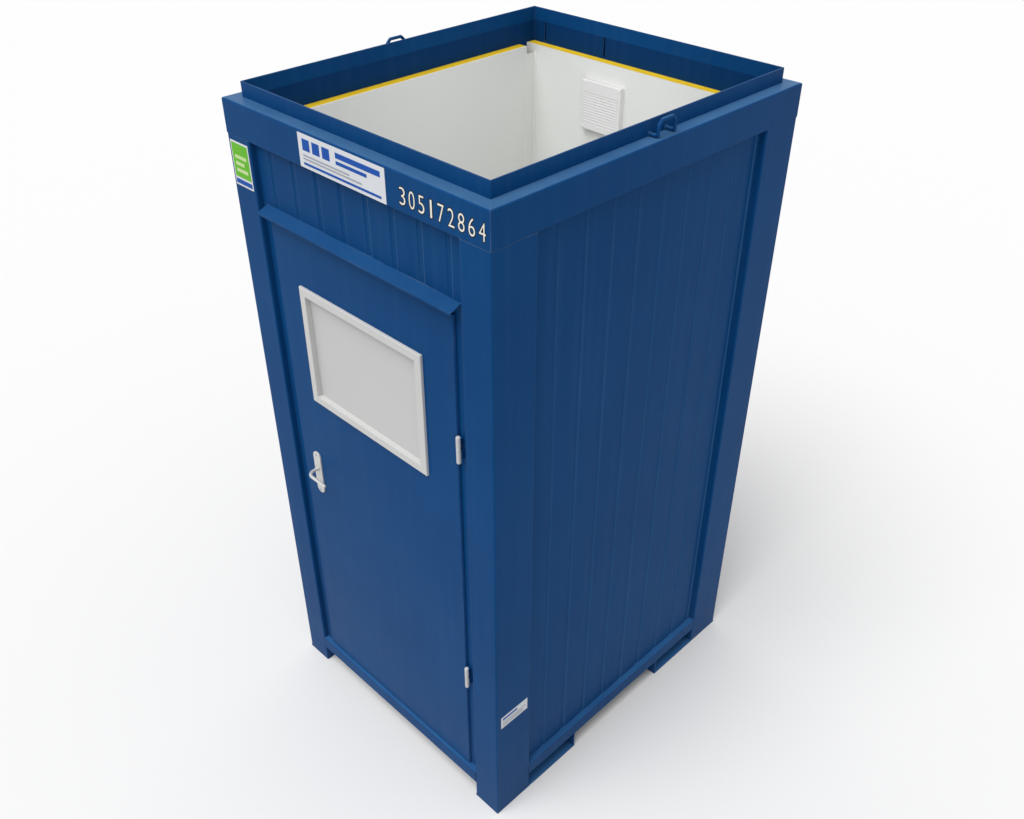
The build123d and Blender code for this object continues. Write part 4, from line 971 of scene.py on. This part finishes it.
@dataclass
class RoofWelds(SubAssembly):
    """Weld beads where the lifting eyes meet the collar."""

    rod: float = 0.0055
    bead: float = 0.0022
    overlap: float = 0.3
    spread: float = 0.038
    ring_steps: int = 28
    bead_steps: int = 8

    def build(self) -> None:
        """Make one bead as a ring cut to the half that shows, and set it at each foot."""
        Bench.clear()
        bpy.ops.mesh.primitive_torus_add(major_segments=self.ring_steps, minor_segments=self.bead_steps,
                                         major_radius=self.rod + self.bead * self.overlap,
                                         minor_radius=self.bead)
        bead = Bench.settle("weld_bead")
        Bench.pick_all()
        bpy.ops.mesh.bisect(plane_co=(0, 0, 0), plane_no=(0, 0, 1), clear_inner=True, use_fill=True)
        bpy.ops.object.mode_set(mode="OBJECT")
        low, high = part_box("lifting_eyes")
        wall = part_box("roof_collar")[1].x
        foot = low.z + self.rod
        right = high.y - self.rod - self.spread
        left = low.y + self.rod + self.spread
        places = []
        for side in (-1.0, 1.0):
            places += Bench.set_on([(wall, right + side * self.spread, foot)], Facing.RIGHT)
            places += Bench.set_on([(-wall, left + side * self.spread, foot)], Facing.LEFT)
        welds = Bench.smooth(Bench.repeat("lifting_eye_welds", bead, places))
        self.fit(welds, FRAME_BLUE, "blue_paint")


@dataclass
class DoorHardware(SubAssembly):
    """Screws of the handle plates and the edge plate."""

    body = "door"
    plate_screw: Screw = Screw(0.0042, 0.0014)
    plate_reach: float = 0.082
    edge_screw: Screw = Screw(0.00336, 0.00056)
    edge_inset: float = 0.012

    def build(self) -> None:
        """Make the screws."""
        low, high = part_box("handle_plates")
        x, middle = (low.x + high.x) / 2, (low.z + high.z) / 2
        heights = (middle - self.plate_reach, middle + self.plate_reach)
        for side, y, facing in (("outside", low.y, Facing.FRONT), ("inside", high.y, Facing.REAR)):
            master = Bench.screw("plate_screw", self.plate_screw)
            places = Bench.set_on([(x, y, z) for z in heights], facing)
            self.fit(Bench.repeat(f"handle_screws_{side}", master, places), ZINC, "bare_steel")
        low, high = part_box("lock_case")
        y = (low.y + high.y) / 2
        heights = (low.z + self.edge_inset, high.z - self.edge_inset)
        master = Bench.screw("edge_screw", self.edge_screw)
        places = Bench.set_on([(low.x, y, z) for z in heights], Facing.LEFT)
        self.fit(Bench.repeat("lock_edge_screws", master, places), ZINC, "bare_steel")


@dataclass
class FanDetails(SubAssembly):
    """Screws and pale marks on the fan cover."""

    screw: Screw = Screw(0.0038, 0.0016)
    screw_inset: float = 0.010
    dot: Disc = Disc(0.0022, 0.0012, 0.0006, 20)
    dot_pitch: float = 0.012
    dot_steps: tuple[int, ...] = (0, 1, 3, 5)
    dot_inset: float = 0.040
    dot_height: float = 0.019

    def build(self) -> None:
        """Make four screws and a row of four marks."""
        low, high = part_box("fan_cover")
        across = (low.x + self.screw_inset, high.x - self.screw_inset)
        heights = (low.z + self.screw_inset, high.z - self.screw_inset)
        corners = [(x, low.y, z) for x in across for z in heights]
        master = Bench.screw("cover_screw", self.screw)
        screws = Bench.repeat("fan_cover_screws", master, Bench.set_on(corners, Facing.FRONT))
        self.fit(screws, PLASTIC_WHITE, "plastic_white")
        dot = Bench.disc("marker", self.dot)
        first, row = high.x - self.dot_inset, low.z + self.dot_height
        spots = [(first - step * self.dot_pitch, low.y, row) for step in self.dot_steps]
        marks = Bench.repeat("fan_marks", dot, Bench.set_on(spots, Facing.FRONT))
        self.fit(marks, MARKER_PALE, "plastic_white")


@dataclass
class Sanitary(SubAssembly):
    """Cistern lid, drain grid, tap collar, foot ring and markers, and paper core."""

    lid_height: float = 0.026
    lid_overhang: float = 0.003
    lid_edge: float = 0.005
    lid_steps: int = 3
    button_hole: Disc = Disc(0.0215, 0.104, 0.0005, 48)
    trap_flange: float = 0.030
    grid: Disc = Disc(0.024, 0.003, 0.0012, 40, 0.004, 0.001)
    grid_hole: Disc = Disc(0.0032, 0.010, 0.0002, 16)
    grid_holes: int = 8
    grid_circle: float = 0.013
    pillar_inset: float = 0.019
    spout_inset: float = 0.009
    spout_height: float = 0.044
    collar: Disc = Disc(0.0105, 0.009, 0.0012, 32, 0.003, 0.003)
    foot_ring: Disc = Disc(0.024, 0.005, 0.002, 40)
    marker: Disc = Disc(0.003, 0.0008, 0.0003, 20)
    marker_spread: float = 0.006
    core_radius: float = 0.0216
    core_wall: float = 0.0013
    core_proud: float = 0.0006
    core_sides: int = 48

    def build(self) -> None:
        """Make the small fittings."""
        self.cistern_lid()
        self.drain_grid()
        self.tap_trim()
        self.paper_core()

    def cistern_lid(self) -> None:
        """Make the lid with its button hole."""
        low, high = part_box("cistern")
        button_low, button_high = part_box("flush_button")
        over = self.lid_overhang
        lid = Bench.slab("cistern_lid", (low.x - over, low.y - over, high.z - self.lid_height),
                         (high.x + over, high.y, high.z + over), self.lid_edge, self.lid_steps)
        tool = Bench.disc("button_hole", self.button_hole)
        middle = (button_low + button_high) / 2
        tool.data.transform(Matrix.Translation((middle.x, middle.y, high.z - self.button_hole.height / 2)))
        self.fit(Bench.smooth(Bench.cut(lid, tool)), PLASTIC_WHITE, "plastic_white")

    def drain_grid(self) -> None:
        """Make the domed grid over the basin's drain."""
        low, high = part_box("basin_trap")
        x, y = low.x + self.trap_flange, (low.y + high.y) / 2
        grid = Bench.disc("drain_grid", self.grid)
        for index in range(self.grid_holes):
            angle = math.tau * index / self.grid_holes
            spot = (self.grid_circle * math.cos(angle), self.grid_circle * math.sin(angle), -self.grid.height)
            hole = Bench.disc("grid_hole", self.grid_hole)
            hole.data.transform(Matrix.Translation(spot))
            Bench.cut(grid, hole)
        piece = Bench.repeat("drain_grid", grid, [Matrix.Translation((x, y, high.z))])
        self.fit(Bench.smooth(piece), CHROME, "chrome")

    def tap_trim(self) -> None:
        """Make the spout's collar, the foot ring and the warm and cold markers."""
        low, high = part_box("tap_body")
        y = (low.y + high.y) / 2
        pillar, spout = high.x - self.pillar_inset, low.x + self.spout_inset
        flip = Matrix.Translation((spout, y, low.z + self.spout_height)) @ Matrix.Rotation(math.pi, 4, "X")
        foot = Matrix.Translation((pillar, y, low.z))
        rings = (("spout_collar", self.collar, flip), ("tap_foot_ring", self.foot_ring, foot))
        for name, size, place in rings:
            self.fit(Bench.repeat(name, Bench.disc(name, size), [place]), CHROME, "chrome")
        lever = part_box("tap_lever")[1].z
        for name, finish, side in (("warm", MARKER_RED, -1.0), ("cold", SIGN_BLUE, 1.0)):
            dot = Bench.disc("marker", self.marker)
            spot = Matrix.Translation((pillar, y + side * self.marker_spread, lever))
            self.fit(Bench.repeat(f"tap_marker_{name}", dot, [spot]), finish, "chrome", "tap")

    def paper_core(self) -> None:
        """Make the card tube inside the paper roll, with a wall of its own."""
        low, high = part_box("paper_roll")
        middle = (low + high) / 2
        Bench.clear()
        bpy.ops.mesh.primitive_cylinder_add(
            vertices=self.core_sides, radius=self.core_radius, depth=high.y - low.y + self.core_proud,
            end_fill_type="NOTHING", location=middle, rotation=(math.pi / 2, 0.0, 0.0),
        )
        core = Bench.settle("paper_core")
        wall = core.modifiers.new("wall", "SOLIDIFY")
        wall.thickness = self.core_wall
        wall.offset = -1.0
        bpy.ops.object.modifier_apply(modifier=wall.name)
        self.fit(Bench.smooth(core), CARD, "paper", "roll")


@dataclass
class Studio:
    """Floor, light and camera."""

    target: Point = (-0.06355, 0.06531, 1.2)
    azimuth: float = 44.87
    elevation: float = 35.26
    roll: float = 0.07
    distance: float = 4.0028
    lens: float = 35.55
    floor_size: float = 40.0
    floor_drop: float = 0.0006
    floor_colour: Colour = (185, 185, 185)
    floor_seen: Colour = (220, 220, 220)
    floor_roughness: float = 0.9
    floor_specular: float = 0.1
    white: tuple[float, float, float, float] = (1.0, 1.0, 1.0, 1.0)
    ambient: float = 0.72
    key_strength: float = 2.32
    key_from: Point = (0.015, -0.447, 0.894)
    key_distance: float = 6.0
    key_softness: float = 40.0
    fill_power: float = 2.0
    fill_from: Point = (1.0, 0.0, 0.3)
    fill_place: Point = (0.42, 0.02, 2.16)
    fill_size: tuple[float, float] = (0.16, 1.0)

    def build(self) -> None:
        """Set the stage."""
        self.floor()
        self.world()
        self.key_light()
        self.fill_light()
        self.camera()
        bpy.context.scene.view_settings.view_transform = "Standard"

    @staticmethod
    def shown(wire: Wiring) -> Socket:
        """Mark the rays that show the background: straight, reflected and passed through.

        Args:
            wire: tree to add to.

        Returns:
            The mask.
        """
        path = wire.tree.nodes.new("ShaderNodeLightPath").outputs
        seen = wire.maths("ADD", path["Is Camera Ray"], path["Is Glossy Ray"])
        return wire.maths("ADD", seen, path["Is Transmission Ray"], clamp=True)

    @staticmethod
    def hang(data: bpy.types.ID, back: Vector, place: Vector, roll: float = 0.0) -> Piece:
        """Put a lamp or a camera into the scene.

        Args:
            data: lamp or camera.
            back: direction that it looks away from.
            place: where it is.
            roll: turn about its own axis in degrees.

        Returns:
            The object that holds it.
        """
        holder = bpy.data.objects.new(data.name, data)
        turn = back.to_track_quat("Z", "Y").to_matrix().to_4x4()
        turn = turn @ Matrix.Rotation(math.radians(roll), 4, "Z")
        holder.matrix_world = Matrix.Translation(place) @ turn
        bpy.context.scene.collection.objects.link(holder)
        return holder

    def floor(self) -> None:
        """Make the pale floor."""
        Bench.clear()
        bpy.ops.mesh.primitive_plane_add(size=self.floor_size, location=(0.0, 0.0, -self.floor_drop))
        plane = Bench.settle("floor")
        material = bpy.data.materials.new("pale_floor")
        material.use_nodes = True
        wire = Wiring(material.node_tree)
        colour = wire.mix(self.shown(wire), linear(self.floor_colour), linear(self.floor_seen))
        wire.fill(material.node_tree.nodes["Principled BSDF"], {
            "Base Color": colour, "Roughness": self.floor_roughness,
            "Specular IOR Level": self.floor_specular,
        })
        plane.data.materials.append(material)

    def world(self) -> None:
        """Light from all round, and a white background for the camera and reflections."""
        world = bpy.data.worlds.new("studio")
        bpy.context.scene.world = world
        world.use_nodes = True
        world.node_tree.nodes.clear()
        wire = Wiring(world.node_tree)
        light, white = (wire.add("ShaderNodeBackground", 0, {"Color": self.white, "Strength": strength})
                        for strength in (self.ambient, 1.0))
        mix = wire.add("ShaderNodeMixShader", 0, {0: self.shown(wire), 1: light, 2: white})
        wire.fill(world.node_tree.nodes.new("ShaderNodeOutputWorld"), {"Surface": mix})

    def key_light(self) -> None:
        """Soft light from above in front."""
        lamp = bpy.data.lights.new("key", "SUN")
        lamp.energy = self.key_strength
        lamp.angle = math.radians(self.key_softness)
        back = Vector(self.key_from)
        self.hang(lamp, back, back * self.key_distance)

    def fill_light(self) -> None:
        """Weak soft light inside the open top, towards the wall that the key leaves dark."""
        lamp = bpy.data.lights.new("fill", "AREA")
        lamp.shape = "RECTANGLE"
        lamp.size, lamp.size_y = self.fill_size
        lamp.energy = self.fill_power
        holder = self.hang(lamp, Vector(self.fill_from), Vector(self.fill_place))
        holder.visible_camera = False
        holder.visible_glossy = False

    def camera(self) -> None:
        """Camera at the photograph's angle."""
        around, up = math.radians(self.azimuth), math.radians(self.elevation)
        back = Vector((math.sin(around) * math.cos(up), -math.cos(around) * math.cos(up), math.sin(up)))
        data = bpy.data.cameras.new("camera")
        data.lens = self.lens
        place = Vector(self.target) + back * self.distance
        bpy.context.scene.camera = self.hang(data, back, place, self.roll)


def signs() -> list[PrintedPlate]:
    """Plates with plain generic marks.

    Returns:
        The rail sign, the post sticker and the small plate by the foot.
    """
    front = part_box("roof_rail_front")[0].y
    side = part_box("corner_post_front_right")[1].x
    inset = 0.022
    rail = PrintedPlate("rail_sign", -0.200, 2.380, 0.395, 0.104, front, Facing.FRONT, {
        "blocks": (SIGN_BLUE, [(left, 0.52, left + 0.09, 0.86) for left in (0.05, 0.17, 0.29)]),
        "bars": (SIGN_BLUE, [(0.45, 0.70, 0.95, 0.86), (0.45, 0.52, 0.80, 0.62), (0.05, 0.10, 0.95, 0.17)]),
        "lines": (SIGN_GREY, [(0.05, 0.36, 0.60, 0.40), (0.05, 0.26, 0.74, 0.30)]),
    })
    sticker = PrintedPlate("post_sticker", -0.588, 2.211, 0.099, 0.150, front, Facing.FRONT, {
        "field": (STICKER_GREEN, [(0.05, 0.20, 0.95, 0.96)]),
        "inner": (STICKER_PALE, [(0.18, low, right, low + 0.08)
                                 for low, right in ((0.62, 0.82), (0.47, 0.66), (0.32, 0.82))]),
        "foot": (SIGN_BLUE, [(0.05, 0.05, 0.95, 0.15)]),
    })
    plate = PrintedPlate("rating_plate", front + inset, 0.493, 0.133, 0.057, side, Facing.RIGHT, {
        "head": (SIGN_BLUE, [(0.06, 0.70, 0.60, 0.86)]),
        "lines": (SIGN_GREY, [(0.06, low, right, low + 0.06)
                              for low, right in ((0.48, 0.92), (0.32, 0.80), (0.16, 0.86))]),
    })
    return [rail, sticker, plate]


def main() -> None:
    """Build every sub-assembly in order."""
    logging.basicConfig(level=logging.INFO, format="%(name)s %(message)s")
    CadSolids().dress()
    for plate in signs():
        plate.build()
    NumberRow().build()
    RoofWelds().build()
    DoorHardware().build()
    FanDetails().build()
    Sanitary().build()
    Studio().build()


if __name__ == "__main__":
    main()
